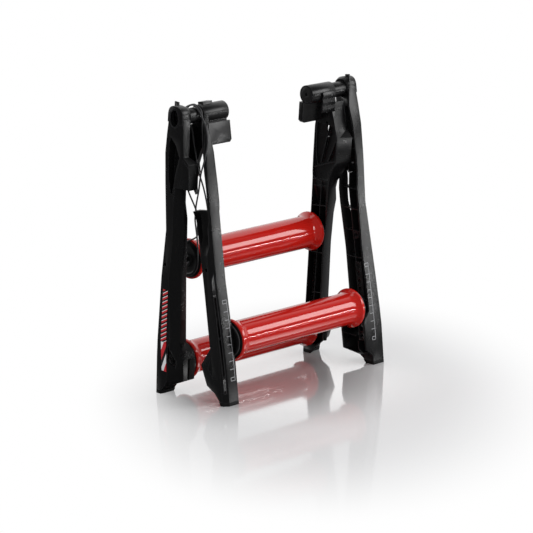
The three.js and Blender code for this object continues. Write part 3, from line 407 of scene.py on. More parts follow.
@dataclass(frozen=True)
class VinylFinish(Finish):
    """Printed vinyl film: plain slanted bars in a second and a third colour, under a hard gloss."""

    bar_colour: str = "#e8e8ea"
    gap_colour: str = "#1b1b1d"
    bar_mm: float = 15.0
    slant: float = 0.9
    bar_share: float = 0.2
    gap_share: float = 0.45
    film_sway: float = 0.1
    film_octaves: float = 2.0

    def make(self) -> bpy.types.Material:
        """Makes the printed film.

        Returns:
            The material.
        """
        material, tree, shader = self.start()
        place = add_node(tree, "ShaderNodeTexCoord", {})
        axes = add_node(tree, "ShaderNodeSeparateXYZ", {}, Vector=place.outputs["Object"])
        lean = {"operation": "MULTIPLY_ADD", 1: self.slant}
        slanted = add_node(tree, "ShaderNodeMath", lean, i0=axes.outputs["Y"], i2=axes.outputs["Z"])
        pitch = {"operation": "DIVIDE", 1: self.bar_mm * MM}
        turns = add_node(tree, "ShaderNodeMath", pitch, i0=slanted.outputs[0])
        part = add_node(tree, "ShaderNodeMath", {"operation": "FRACT"}, i0=turns.outputs[0])
        bar, gap = (
            add_node(tree, "ShaderNodeMath", {"operation": "LESS_THAN", 1: share}, i0=part.outputs[0])
            for share in (self.bar_share, self.gap_share)
        )
        inner = self.tint(tree, gap.outputs[0], self.colour, self.gap_colour)
        barred = {"data_type": "RGBA", 7: linear(self.bar_colour)}
        mix = add_node(tree, "ShaderNodeMix", barred, i0=bar.outputs[0], i6=inner)
        tree.links.new(mix.outputs[2], shader.inputs["Base Color"])
        film = self.noise(tree, self.grain_mm, self.film_octaves)
        level = self.range(tree, film, self.roughness, self.roughness + self.film_sway)
        tree.links.new(level, shader.inputs["Roughness"])
        self.bump(tree, shader, film, self.grain_height_mm)
        return material


# Glass-filled nylon, moulded in a spark-eroded tool: satin black, with a painted highlight along its
# edges. The real grain is 0.15 mm and is drawn coarser so that it shows.
LEG_PLASTIC = MouldedFinish(
    "glass_filled_nylon_moulded", "#0e0e0f", roughness=0.3, grain_mm=0.7, grain_height_mm=0.03,
    scuffed="#141415", specular=0.32, edge_highlight_colour="#565659",
)
# Gloss-moulded ABS tube: the eye reads sharp streaks of light that waver very slightly along the tube.
ROLLER_PLASTIC = GlossFinish(
    "abs_gloss_moulded", "#b81c15", roughness=0.08, grain_mm=0.9, grain_height_mm=0.001
)
# Acetal end caps: darker and slicker than the legs, with finer grain.
CAP_PLASTIC = MouldedFinish(
    "acetal_moulded", "#111112", roughness=0.34, grain_mm=0.6, grain_height_mm=0.03,
    scuffed="#222224", cloud_mm=30.0, scuff_mm=4.0,
)
# Moulded rubber feet and pads: dull, dusty, no shine.
RUBBER = MouldedFinish(
    "rubber_moulded", "#0e0e0f", roughness=0.72, grain_mm=0.9, grain_height_mm=0.06,
    scuffed="#1d1d1e", cloud_mm=25.0, scuff_mm=3.0, specular=0.3,
)
# Extruded urethane cord: dark grey, waxy.
URETHANE = MouldedFinish(
    "urethane_extruded", "#3a3a3c", roughness=0.45, grain_mm=0.8, grain_height_mm=0.02,
    scuffed="#4a4a4c", cloud_mm=30.0, scuff_mm=6.0, specular=0.45,
)
# Zinc-plated steel, turned on a lathe: fine rings that break up the highlight.
STEEL = TurnedSteelFinish(
    "steel_turned_zinc_plated", "#9a9c9f", roughness=0.3, grain_mm=0.4, grain_height_mm=0.01
)
# Printed vinyl film: fine bars in pale, black and red that the eye takes for a striped edge.
VINYL_RED = VinylFinish(
    "vinyl_printed_red", "#c8202a", roughness=0.3, grain_mm=3.0, grain_height_mm=0.01,
    bar_mm=11.0, slant=0.5, bar_share=0.16, gap_share=0.55,
)
# The same film at its foot: one broad pale sweep beside black and red.
VINYL_LIGHT = VinylFinish(
    "vinyl_printed_white", "#c8202a", roughness=0.3, grain_mm=3.0, grain_height_mm=0.01,
    bar_mm=64.0, slant=2.0, bar_share=0.34, gap_share=0.6,
)
# Pad-printed ink on the nylon: pale, dry, a little uneven where the grain shows through.
INK = MouldedFinish(
    "ink_pad_printed", "#a9aaad", roughness=0.6, grain_mm=0.7, grain_height_mm=0.02,
    scuffed="#7d7e81", cloud_mm=12.0, scuff_mm=2.0, specular=0.3,
)


@dataclass
class Paints:
    """Makes each finish once and hands out its material."""

    made: dict[str, bpy.types.Material] = field(default_factory=dict)

    def dress(self, piece: bpy.types.Object, finish: Any) -> None:
        """Gives a piece one finish all over.

        Args:
            piece: The object to dress.
            finish: A finish with a make method.
        """
        if finish.name not in self.made:
            self.made[finish.name] = finish.make()
        piece.data.materials.clear()
        piece.data.materials.append(self.made[finish.name])


PAINTS = Paints()


# Modelling helpers


def turned_piece(
    name: str, section: list[Point], centre: Place, steps: int, edge_mm: float
) -> bpy.types.Object:
    """Spins a closed section round an axis along X.

    Args:
        name: The piece's name.
        section: Closed outline of (along, radius) points in millimetres.
        centre: Place of the axis, in millimetres.
        steps: Steps round the axis.
        edge_mm: Size of the rounding on its sharp edges.

    Returns:
        The turned object, with its place in its mesh.
    """
    bpy.ops.object.select_all(action="DESELECT")
    bpy.ops.mesh.primitive_circle_add(vertices=len(section), radius=1.0)
    piece = bpy.context.object
    piece.name = name
    for vertex, (along, radius) in zip(piece.data.vertices, section):
        vertex.co = Vector((centre[0] + along, centre[1], centre[2] + radius)) * MM
    bpy.ops.object.mode_set(mode="EDIT")
    bpy.ops.mesh.select_all(action="SELECT")
    bpy.ops.mesh.spin(steps=steps, angle=2 * math.pi, center=Vector(centre) * MM, axis=(1, 0, 0))
    bpy.ops.mesh.select_all(action="SELECT")
    bpy.ops.mesh.remove_doubles(threshold=MERGE_NEW)
    bpy.ops.mesh.normals_make_consistent(inside=False)
    bpy.ops.object.mode_set(mode="OBJECT")
    round_edges(piece, edge_mm, TURNED_EDGE_DEG)
    return piece


def round_edges(piece: bpy.types.Object, width_mm: float, angle_deg: float) -> None:
    """Bevels a piece's sharp edges and shades it smooth between them.

    Args:
        piece: The object, with its place in its mesh.
        width_mm: Width of the rounding.
        angle_deg: Edges sharper than this are rounded.
    """
    only(piece)
    bevel = piece.modifiers.new("rounding", "BEVEL")
    bevel.width = width_mm * MM
    bevel.segments = EDGE_FACETS
    bevel.limit_method = "ANGLE"
    bevel.angle_limit = math.radians(angle_deg)
    bevel.use_clamp_overlap = True
    bpy.ops.object.modifier_apply(modifier=bevel.name)
    bpy.ops.object.shade_smooth_by_angle(angle=math.radians(angle_deg + SMOOTH_MARGIN_DEG))


def softened_copy(node: str, width_mm: float, flat_deg: float = 0.6) -> bpy.types.Object:
    """Copies a CAD node, merges it and rounds its edges as a mould does.

    Args:
        node: The CAD node's name.
        width_mm: Width of the rounding.
        flat_deg: Faces that meet flatter than this become one.

    Returns:
        The copy, which stands for the node.
    """
    piece = bpy.data.objects.new(f"{node}_moulded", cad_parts[node].data.copy())
    bpy.context.scene.collection.objects.link(piece)
    only(piece)
    bpy.ops.mesh.customdata_custom_splitnormals_clear()
    bpy.ops.object.mode_set(mode="EDIT")
    bpy.ops.mesh.select_all(action="SELECT")
    bpy.ops.mesh.remove_doubles(threshold=MERGE_COPY)
    bpy.ops.mesh.dissolve_limited(angle_limit=math.radians(flat_deg))
    bpy.ops.object.mode_set(mode="OBJECT")
    round_edges(piece, width_mm, MOULDED_EDGE_DEG)
    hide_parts(node)
    return piece


def settle(piece: bpy.types.Object, body: str, finish: Any) -> None:
    """Dresses a piece and lets it ride on its body.

    Args:
        piece: The finished object.
        body: The CAD body that it moves with.
        finish: The finish that it wears.
    """
    PAINTS.dress(piece, finish)
    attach(piece, body)
    log.info("%s on %s, %d faces", piece.name, body, len(piece.data.polygons))


# Stance of the two half frames


@dataclass(frozen=True)
class Stance:
    """Where leg measures lie in the row frame. Leg measures are out, front and down, in millimetres."""

    splay_deg: float = 6.04
    leg_length: float = 701.2
    toe_reach: float = 46.0
    origin_shift: float = 4.2086
    axle_front: float = 22.6

    @property
    def hinge_height(self) -> float:
        """Height of the fold axis."""
        splay = math.radians(self.splay_deg)
        return self.leg_length * math.cos(splay) - self.toe_reach * math.sin(splay)

    def sideways(self, front: float, down: float) -> float:
        """How far a leg point lies from the fold axis, along Y."""
        splay = math.radians(self.splay_deg)
        return front * math.cos(splay) + down * math.sin(splay)

    def height(self, front: float, down: float) -> float:
        """Height of a leg point above the floor."""
        splay = math.radians(self.splay_deg)
        return self.hinge_height - down * math.cos(splay) + front * math.sin(splay)

    def place(self, rear: bool, side: int, out: float, front: float, down: float) -> Vector:
        """Turns leg measures to a place in the row frame.

        Args:
            rear: True on the rear half frame.
            side: 1 on the right and -1 on the left.
            out: Distance from the middle plane.
            front: Distance in front of the hinge plane.
            down: Distance down the leg from the fold axis.

        Returns:
            The place in metres.
        """
        turn = 1 if rear else -1
        y = turn * self.sideways(front, down) - self.origin_shift
        return Vector((side * out, y, self.height(front, down))) * MM

    def axle(self, rear: bool, down: float) -> Place:
        """Centre of an axle in millimetres.

        Args:
            rear: True on the rear half frame.
            down: Distance of the socket down the leg.

        Returns:
            X, Y and Z of the roller's middle.
        """
        turn = 1 if rear else -1
        y = turn * self.sideways(self.axle_front, down) - self.origin_shift
        return 0.0, y, self.height(self.axle_front, down)


STANCE = Stance()


# Rollers


@dataclass(frozen=True)
class RollerSizes:
    """Sizes of a roller and its caps, in millimetres."""

    length: float = 418.0
    rim_radius: float = 50.0
    tube_radius: float = 41.0
    wall: float = 3.0
    flare_length: float = 24.0
    rim_width: float = 8.0
    rim_round: float = 3.0
    cap_radius: float = 45.7
    cap_seat: float = 6.3
    cap_stand_out: float = 5.0
    cap_spigot: float = 18.0
    cap_web: float = 3.2
    recess: float = 3.0
    recess_inner: float = 19.0
    recess_outer: float = 38.0
    pulley_radius: float = 41.0
    pulley_width: float = 7.9
    groove_depth: float = 5.6
    groove_floor: float = 3.0
    bearing_radius: float = 11.0
    nose_radius: float = 6.9
    gap: float = 0.3
    steps: int = 112
    flare_steps: int = 10
    flare_power: float = 1.25
    rim_steps: int = 4
    tube_edge: float = 0.35
    cap_edge: float = 0.45


@dataclass
class Roller:
    """One roller: a flared tube and two caps, on its axle line."""

    name: str
    rear: bool
    down: float
    left: RollerEnd
    right: RollerEnd = RollerEnd.PLAIN
    sizes: RollerSizes = RollerSizes()

    @property
    def centre(self) -> Place:
        """Middle of the roller."""
        return STANCE.axle(self.rear, self.down)

    def tube_section(self) -> list[Point]:
        """Outlines the tube's wall.

        Returns:
            Closed outline of (along, radius) points.
        """
        s = self.sizes
        half, bore = s.length / 2, s.tube_radius - s.wall
        rim_from = half - s.rim_width
        points: list[Point] = []
        for i in range(s.flare_steps + 1):
            share = i / s.flare_steps
            rise = (1 - math.cos(share * math.pi / 2)) ** s.flare_power
            radius = s.tube_radius + (s.rim_radius - s.tube_radius) * rise
            points.append((rim_from - s.flare_length * (1 - share), radius))
        for i in range(s.rim_steps + 1):
            angle = i / s.rim_steps * math.pi / 2
            along = half - s.rim_round * (1 - math.sin(angle))
            points.append((along, s.rim_radius - s.rim_round * (1 - math.cos(angle))))
        seat = half - s.cap_seat
        points += [(half, s.cap_radius + s.gap), (seat, s.cap_radius + s.gap), (seat, bore)]
        return points + [(-along, radius) for along, radius in reversed(points)]

    def cap_section(self, end: RollerEnd) -> list[Point]:
        """Outlines a cap: spigot in the bore, flange in the seat and bearing pocket.

        Args:
            end: Plain cap or belt pulley.

        Returns:
            Closed outline of (along, radius) points, for the right end.
        """
        s = self.sizes
        half = s.length / 2
        flange = half - s.cap_seat + s.gap
        bore = s.tube_radius - s.wall - s.gap
        if end is RollerEnd.PLAIN:
            out, inner = half + s.cap_stand_out, s.recess_outer
            face = [(out, s.cap_radius)]
        else:
            start = half + s.gap
            out, inner = start + s.pulley_width, s.recess_outer - s.recess
            middle, floor = start + s.pulley_width / 2, s.pulley_radius - s.groove_depth
            face = [(start, s.cap_radius), (start, s.pulley_radius)]
            face += [(middle - s.groove_floor / 2, floor), (middle + s.groove_floor / 2, floor)]
            face += [(out, s.pulley_radius)]
        face += [(out, inner), (out - s.recess, inner - s.recess / 2)]
        face += [(out - s.recess, s.recess_inner), (out, s.recess_inner - s.recess / 2)]
        pocket = s.bearing_radius + s.gap
        hub = [(out, pocket), (flange + s.cap_web, pocket), (flange + s.cap_web, s.nose_radius)]
        back = [(flange - s.cap_spigot, s.nose_radius), (flange - s.cap_spigot, bore), (flange, bore)]
        return back + [(flange, s.cap_radius)] + face + hub

    def build(self) -> None:
        """Builds the tube and the caps and sets them on the roller's body."""
        s = self.sizes
        section = self.tube_section()
        tube = turned_piece(f"{self.name}_tube_smooth", section, self.centre, s.steps, s.tube_edge)
        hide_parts(f"{self.name}_tube")
        settle(tube, self.name, ROLLER_PLASTIC)
        for side, end, turn in (("left", self.left, -1), ("right", self.right, 1)):
            section = [(turn * along, radius) for along, radius in self.cap_section(end)]
            name = f"{self.name}_{side}_cap"
            cap = turned_piece(f"{name}_smooth", section, self.centre, s.steps, s.cap_edge)
            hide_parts(name)
            settle(cap, self.name, CAP_PLASTIC)


# Legs with their printed scales


@dataclass(frozen=True)
class ScaleSizes:
    """The printed ladder scale beside the sockets, in millimetres.

    Places across are distances from the middle plane.
    """

    rail: float
    rung_end: float
    first_down: float
    pitch: float = 20.0
    rungs: int = 10
    box_length: float = 8.0
    line: float = 1.2
    lift: float = 0.06
    thickness: float = 0.22
    follow_step: float = 6.0


@dataclass
class Leg:
    """One leg moulding of a half frame, with its foot cap, ground pad and printed scale."""

    node: str
    body: str
    rear: bool
    side: int
    kind: LegKind
    front_shares: Table
    scale: ScaleSizes
    rounding: float = 0.9
    cap_rounding: float = 0.8
    pad_rounding: float = 0.7
    trim_rounding: float = 0.25

    def front(self, down: float) -> float:
        """Front face of the leg at a distance down it."""
        return STANCE.toe_reach * interpolate(self.front_shares, down / STANCE.leg_length)

    def printed_scale(self) -> bpy.types.Object:
        """Builds the ladder scale: a rail, its rungs and a box at each end.

        Returns:
            The scale as one object.
        """
        s = self.scale
        low, high = min(s.rail, s.rung_end), max(s.rail, s.rung_end)
        last = s.first_down + s.pitch * (s.rungs - 1)
        half = s.line / 2
        lines = [((s.rail - half, s.rail + half), (s.first_down - s.box_length, last + s.box_length))]
        for i in range(s.rungs):
            down = s.first_down + i * s.pitch
            lines.append(((low, high), (down - half, down + half)))
        for start in (s.first_down - s.box_length, last):
            lines.append(((s.rung_end - half, s.rung_end + half), (start, start + s.box_length)))
        for down in (s.first_down - s.box_length, last + s.box_length):
            lines.append(((low, high), (down - half, down + half)))
        strips = [self.flat_line(out, down) for out, down in lines]
        bpy.ops.object.select_all(action="DESELECT")
        for strip in strips:
            strip.select_set(True)
        bpy.context.view_layer.objects.active = strips[0]
        bpy.ops.object.join()
        scale = bpy.context.object
        scale.name = f"{self.node}_printed_scale"
        return scale

    def flat_line(self, out: Point, down: Point) -> bpy.types.Object:
        """Makes one raised line with its thickness.

        Args:
            out: Its two sides, across the leg.
            down: Its two ends, down the leg.

        Returns:
            The line, closed all round.
        """
        s = self.scale
        cells = max(1, round((down[1] - down[0]) / s.follow_step))
        bpy.ops.object.select_all(action="DESELECT")
        bpy.ops.mesh.primitive_cube_add(size=1.0)
        line = bpy.context.object
        bpy.ops.object.mode_set(mode="EDIT")
        for i in range(1, cells):
            bpy.ops.mesh.select_all(action="SELECT")
            bpy.ops.mesh.bisect(plane_co=(0, i / cells - 0.5, 0), plane_no=(0, 1, 0))
        bpy.ops.object.mode_set(mode="OBJECT")
        for vertex in line.data.vertices:
            across, along, up = vertex.co + Vector((0.5, 0.5, 0.5))
            low = down[0] + (down[1] - down[0]) * along
            place = out[0] + (out[1] - out[0]) * across
            front = self.front(low) + s.lift + s.thickness * up
            vertex.co = STANCE.place(self.rear, self.side, place, front, low)
        only(line)
        bpy.ops.object.mode_set(mode="EDIT")
        bpy.ops.mesh.select_all(action="SELECT")
        bpy.ops.mesh.normals_make_consistent(inside=False)
        bpy.ops.object.mode_set(mode="OBJECT")
        return line

    def build(self) -> None:
        """Builds the leg, its cap and pad, and its scale."""
        settle(softened_copy(f"{self.node}_leg", self.rounding), self.body, LEG_PLASTIC)
        for part, rounding in (("foot_cap", self.cap_rounding), ("end_pad", self.pad_rounding)):
            settle(softened_copy(f"{self.node}_{part}", rounding), self.body, RUBBER)
        settle(self.printed_scale(), self.body, INK)
        if self.kind is LegKind.OUTER:
            for part, slot, finish in (
                ("trim_red", "trim_red", VINYL_RED),
                ("trim_light", "trim_light", VINYL_LIGHT),
            ):
                trim = softened_copy(f"{self.node}_{part}", self.trim_rounding)
                settle(trim, self.body, finish)


# Hinge


@dataclass
class Hinge:
    """The fold hinge on one side: collar, pin, plug and ridged plate."""

    side: str
    body: str

    def build(self) -> None:
        """Builds the hinge's pieces."""
        for part, slot, finish, rounding in (
            ("hinge_collar", "leg_plastic", LEG_PLASTIC, 0.6),
            ("hinge_pin", "steel", STEEL, 0.5),
            ("barrel_plug", "cap_plastic", CAP_PLASTIC, 0.4),
            ("ridge_plate", "leg_plastic", LEG_PLASTIC, 0.5),
        ):
            settle(softened_copy(f"{self.side}_{part}", rounding), self.body, finish)


# Drive belt


@dataclass(frozen=True)
class BeltSizes:
    """The slack drive belt, in millimetres.

    blend_start and blend_end are two places below the hinge, between the rear half frame and the front
    one; they are not used.
    """

    groove_out: float = 213.25
    radius: float = 2.0
    steps: int = 900
    least_steps: int = 4
    sides: int = 12
    smooth_deg: float = 60.0
    blend_start: Place = (0.0, -20.0, 366.0)
    blend_end: Place = (0.0, -139.5, 246.5)


# Stretches of the belt, each laid out from the axle or fold axis that it passes: how far outside the
# pulley groove, along Y and along Z, in millimetres.
UPPER_FIRST: list[Place] = [
    (0, 2.7, -38.9), (0, -17.1, -35.1), (0, -32.3, -21.8), (0, -38.9, -2.7), (-0.4, -39.7, 19.5),
    (-2, -37.2, 47), (-2.6, -35.4, 62.3), (-1.7, -33.8, 80.5),
]
FOLD_FIRST: list[Place] = [
    (1.8, 26.1, -260.7), (6.8, 18, -240.5), (10.8, 12, -227.5), (14.8, 5, -215.5), (17.8, -3, -198.5),
    (22.8, -14, -177.5), (30.3, -27, -151.5), (37.3, -40, -130.5), (39.8, -50, -112.5),
    (37.3, -55.5, -92.5), (30.3, -55.5, -70.5), (23.8, -50.5, -47.5), (20.3, -42, -25.5),
    (19.8, -32, -8.5), (20.8, -20.6, 10.1), (21.8, -3, 24), (23.3, 14, 20), (23.8, 23, 4.5),
    (23.8, 22.4, -7.5), (22.8, 14.4, -18.5), (20.8, 8, -33.5), (16.8, 4.4, -80.9), (11.3, -2, -137.5),
    (4.3, -10.9, -179.8),
]
FRONT_WRAP: list[Place] = [
    (0.1, 61.8, 312.3), (0.1, 52.3, 212.7), (0.3, 45.7, 122.8), (1, 44, 92.8), (1.8, 42.7, 74.9),
    (2.1, 40.5, 63.1), (2.1, 33, 57.7), (1.2, 7.6, 46.7), (0, -17.2, 35.1), (0, -32.4, 21.6),
    (0, -39, 2.5), (0, -35.2, -17.3), (0, -21.9, -32.5), (0, -2.8, -39.1), (0, 17, -35.3),
    (0, 32.2, -22), (0, 38.8, -2.9), (-0.3, 40, 19.9), (-2, 37.1, 46.4), (-2.6, 35.3, 62.2),
    (-1.7, 33.8, 80.9), (0, 34.2, 109), (0.1, 37, 164), (0.1, 43.4, 243.8),
]
FOLD_LAST: list[Place] = [
    (0.2, -29.7, -223.2), (3.8, -25.4, -173.3), (9.3, -21.1, -113.5), (11.3, -19.4, -60.3),
    (13.3, -21.6, -23.9), (14.8, -23.6, -2.5), (15.5, -18.6, 15), (15.8, 0, 24.5), (16.8, 17, 21.5),
    (18.8, 34, 11.5), (20.8, 44, -10.5), (20.8, 47, -42.5), (20.8, 48, -92.5), (18.8, 46.5, -142.5),
    (8.8, 39, -192.5), (0.8, 26, -230.5),
]
UPPER_LAST: list[Place] = [
    (0, -42.8, 115.7), (0.8, -42.6, 92.7), (1.8, -42.7, 74.5), (2.2, -40.7, 63.1), (2.1, -33.1, 57.7),
    (1.2, -7.6, 46.7), (0, 17.1, 35.1), (0, 32.3, 21.8), (0, 38.9, 2.7), (0, 35.1, -17.1),
    (0, 21.8, -32.3),
]


@dataclass
class Belt:
    """The round urethane belt, hung over the hinge collar and round two pulleys."""

    upper_down: float
    front_down: float
    sizes: BeltSizes = BeltSizes()

    def route(self) -> list[Vector]:
        """Lays the stretches end to end.

        Returns:
            The route's chosen points, in metres.
        """
        upper = STANCE.axle(True, self.upper_down)
        front = STANCE.axle(False, self.front_down)
        fold = (0.0, -STANCE.origin_shift, STANCE.hinge_height)
        points: list[Vector] = []
        for anchor, steps in (
            (upper, UPPER_FIRST),
            (fold, FOLD_FIRST),
            (front, FRONT_WRAP),
            (fold, FOLD_LAST),
            (upper, UPPER_LAST),
        ):
            for out, y, z in steps:
                points.append(Vector((-(self.sizes.groove_out + out), anchor[1] + y, anchor[2] + z)) * MM)
        return points

    @staticmethod
    def between(a: Vector, b: Vector, c: Vector, d: Vector, share: float) -> Vector:
        """Reads a centripetal curve through four points.

        Args:
            a: Point before the span.
            b: Start of the span.
            c: End of the span.
            d: Point after the span.
            share: Place in the span, 0 to 1.

        Returns:
            The place on the curve.
        """
        knots = [0.0]
        for first, second in ((a, b), (b, c), (c, d)):
            knots.append(knots[-1] + max((second - first).length ** 0.5, 1e-6))
        t = knots[1] + (knots[2] - knots[1]) * share
        level = [a, b, c, d]
        for spans in (((0, 1), (1, 2), (2, 3)), ((0, 2), (1, 3)), ((1, 2),)):
            level = [
                level[i].lerp(level[i + 1], (t - knots[low]) / (knots[high] - knots[low]))
                for i, (low, high) in enumerate(spans)
            ]
        return level[0]

    def smooth_points(self) -> list[Vector]:
        """Samples the closed curve.

        Returns:
            Points spread along the belt's middle line.
        """
        route = self.route()
        count = len(route)
        each = max(self.sizes.least_steps, self.sizes.steps // count)
        points = []
        for i in range(count):
            four = [route[(i + k) % count] for k in (-1, 0, 1, 2)]
            points += [self.between(*four, step / each) for step in range(each)]
        return points

    def build(self) -> None:
        """Sweeps the belt's round section along its route."""
        curve = bpy.data.curves.new("drive_belt_smooth", "CURVE")
        curve.dimensions = "3D"
        curve.twist_mode = "MINIMUM"
        curve.bevel_depth = self.sizes.radius * MM
        curve.bevel_resolution = self.sizes.sides // 4
        points = self.smooth_points()
        spline = curve.splines.new("POLY")
        spline.points.add(len(points) - 1)
        for target, point in zip(spline.points, points):
            target.co = (*point, 1.0)
        spline.use_cyclic_u = True
        piece = bpy.data.objects.new("drive_belt_smooth", curve)
        bpy.context.scene.collection.objects.link(piece)
        only(piece)
        bpy.ops.object.convert(target="MESH")
        piece = bpy.context.object
        bpy.ops.object.mode_set(mode="EDIT")
        bpy.ops.mesh.select_all(action="SELECT")
        bpy.ops.mesh.remove_doubles(threshold=MERGE_NEW)
        bpy.ops.mesh.normals_make_consistent(inside=False)
        bpy.ops.object.mode_set(mode="OBJECT")
        bpy.ops.object.shade_smooth_by_angle(angle=math.radians(self.sizes.smooth_deg))
        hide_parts("drive_belt")
        PAINTS.dress(piece, URETHANE)
        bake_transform(piece)
        log.info("%s on rear_frame and front_frame, %d faces", piece.name, len(piece.data.polygons))


# Studio


@dataclass(frozen=True)
class Lamp:
    """A soft box: its place, what it faces, its two sides in metres and its power in watts."""

    name: str
    place: Place
    facing: Place
    sides: Point
    watts: float


@dataclass(frozen=True)
class Studio:
    """Pale glossy floor, soft boxes, white surroundings and the camera at the photo's angle, in metres.

    Past clear_to the floor is plain white to the camera. In the object's reflections it is darker.
    """

    azimuth_deg: float = -43.48
    elevation_deg: float = 13.49
    roll_deg: float = -1.11
    distance: float = 6.0796
    slide: Point = (-0.00308, -0.06655)
    target: Place = (0.0, -0.0042086, 0.35)
    lens: float = 166.6
    sensor: float = 36.0
    sight: float = 200.0
    floor_side: float = 80.0
    floor_colour: str = "#e0e0e1"
    floor_mirrored: str = "#5e5e5f"
    clear_from: float = 0.26
    clear_to: float = 0.6
    clear_depth: float = 0.6
    clear_centre: Place = (0.0, -0.2, 0.0)
    sky_diffuse: float = 0.72
    sky_glossy: float = 0.12
    far_white: float = 1.0
    far_turn: Point = (0.2, 0.6)
    floor_mirror: Point = (0.68, 0.08)
    mirror_reach: Point = (0.1, 0.5)
    floor_roughness: float = 0.07
    lamps: tuple[Lamp, ...] = (
        Lamp("overhead", (0.2, 0.2, 3.0), (0.0, 0.0, 0.3), (1.2, 1.0), 5.0),
        Lamp("key", (1.9, -2.3, 1.7), (0.0, 0.0, 0.35), (2.0, 1.2), 44.0),
        Lamp("strip", (2.2, -2.3, 0.24), (0.0, 0.0, 0.3), (1.9, 0.03), 16.0),
        Lamp("back", (-0.9, 2.6, 1.6), (0.0, 0.0, 0.35), (1.2, 1.0), 9.0),
    )

    def camera(self) -> None:
        """Places the camera."""
        a, e, turn = (math.radians(v) for v in (self.azimuth_deg, self.elevation_deg, self.roll_deg))
        back = Vector((math.sin(a) * math.cos(e), -math.cos(a) * math.cos(e), math.sin(e)))
        right = Vector((math.cos(a), math.sin(a), 0))
        up = back.cross(right)
        across = math.cos(turn) * right + math.sin(turn) * up
        upward = -math.sin(turn) * right + math.cos(turn) * up
        data = bpy.data.cameras.new("camera")
        data.lens, data.sensor_width = self.lens, self.sensor
        data.clip_end = self.sight
        camera = bpy.data.objects.new("camera", data)
        bpy.context.scene.collection.objects.link(camera)
        place = Vector(self.target) + across * self.slide[0] + upward * self.slide[1]
        place += back * self.distance
        turned = Matrix((across, upward, back)).transposed().to_4x4()
        camera.matrix_world = Matrix.Translation(place) @ turned
        bpy.context.scene.camera = camera

    def light(self) -> None:
        """Hangs the soft boxes."""
        for lamp in self.lamps:
            data = bpy.data.lights.new(lamp.name, "AREA")
            data.shape = "RECTANGLE"
            data.size, data.size_y = lamp.sides
            data.energy = lamp.watts
            piece = bpy.data.objects.new(lamp.name, data)
            bpy.context.scene.collection.objects.link(piece)
            towards = Vector(lamp.facing) - Vector(lamp.place)
            turn = towards.to_track_quat("-Z", "Y").to_matrix().to_4x4()
            piece.matrix_world = Matrix.Translation(lamp.place) @ turn

    def sky(self) -> None:
        """Surrounds the scene: white to the camera, softer in light and in reflections."""
        world = bpy.data.worlds.new("surroundings")
        bpy.context.scene.world = world
        world.use_nodes = True
        tree = world.node_tree
        tree.nodes.clear()
        turn = math.radians(self.azimuth_deg)
        away = (-math.sin(turn), math.cos(turn), 0.0)
        path = add_node(tree, "ShaderNodeLightPath", {})
        heading = add_node(tree, "ShaderNodeTexCoord", {})
        along = {"operation": "DOT_PRODUCT", 1: away}
        towards = add_node(tree, "ShaderNodeVectorMath", along, i0=heading.outputs["Generated"])
        white = add_node(
            tree,
            "ShaderNodeMapRange",
            {
                "interpolation_type": "SMOOTHSTEP",
                "From Min": self.far_turn[0],
                "From Max": self.far_turn[1],
                "To Min": self.sky_glossy,
                "To Max": self.far_white,
            },
            Value=towards.outputs["Value"],
        )
        soft = add_node(
            tree,
            "ShaderNodeMix",
            {"data_type": "FLOAT", 2: self.sky_diffuse},
            i0=path.outputs["Is Glossy Ray"],
            i3=white.outputs[0],
        )
        strength = add_node(
            tree,
            "ShaderNodeMath",
            {"operation": "MAXIMUM"},
            i0=soft.outputs[0],
            i1=path.outputs["Is Camera Ray"],
        )
        sky = add_node(tree, "ShaderNodeBackground", {"Color": WHITE}, Strength=strength.outputs[0])
        add_node(tree, "ShaderNodeOutputWorld", {}, Surface=sky.outputs[0])

    def floor(self) -> None:
        """Lays the pale floor, which turns plain white away from the object."""
        bpy.ops.object.select_all(action="DESELECT")
        bpy.ops.mesh.primitive_plane_add(size=self.floor_side)
        floor = bpy.context.object
        floor.name = "floor"
        material = bpy.data.materials.new("floor_acrylic_polished")
        material.use_nodes = True
        tree = material.node_tree
        tree.nodes.clear()
        path = add_node(tree, "ShaderNodeLightPath", {})
        shade = add_node(
            tree,
            "ShaderNodeMix",
            {"data_type": "RGBA", 6: linear(self.floor_colour), 7: linear(self.floor_mirrored)},
            i0=path.outputs["Is Glossy Ray"],
        )
        matt = add_node(tree, "ShaderNodeBsdfDiffuse", {}, Color=shade.outputs[2])
        polish = {"Color": WHITE, "Roughness": self.floor_roughness}
        mirror = add_node(tree, "ShaderNodeBsdfGlossy", polish)
        place = add_node(tree, "ShaderNodeTexCoord", {})
        length = {"operation": "LENGTH"}
        reach = add_node(tree, "ShaderNodeVectorMath", length, i0=place.outputs["Object"])
        share = add_node(
            tree,
            "ShaderNodeMapRange",
            {
                "interpolation_type": "SMOOTHSTEP",
                "From Min": self.mirror_reach[0],
                "From Max": self.mirror_reach[1],
                "To Min": self.floor_mirror[0],
                "To Max": self.floor_mirror[1],
            },
            Value=reach.outputs["Value"],
        )
        surface = add_node(
            tree,
            "ShaderNodeMixShader",
            {},
            i0=share.outputs[0],
            i1=matt.outputs["BSDF"],
            i2=mirror.outputs["BSDF"],
        )
        centred = {"operation": "SUBTRACT", 1: self.clear_centre}
        moved = add_node(tree, "ShaderNodeVectorMath", centred, i0=place.outputs["Object"])
        turned = add_node(
            tree,
            "ShaderNodeVectorRotate",
            {"rotation_type": "Z_AXIS", "Angle": -math.radians(self.azimuth_deg)},
            Vector=moved.outputs["Vector"],
        )
        flattened = add_node(
            tree,
            "ShaderNodeVectorMath",
            {"operation": "MULTIPLY", 1: (1.0, self.clear_depth, 1.0)},
            i0=turned.outputs["Vector"],
        )
        apart = add_node(tree, "ShaderNodeVectorMath", length, i0=flattened.outputs["Vector"])
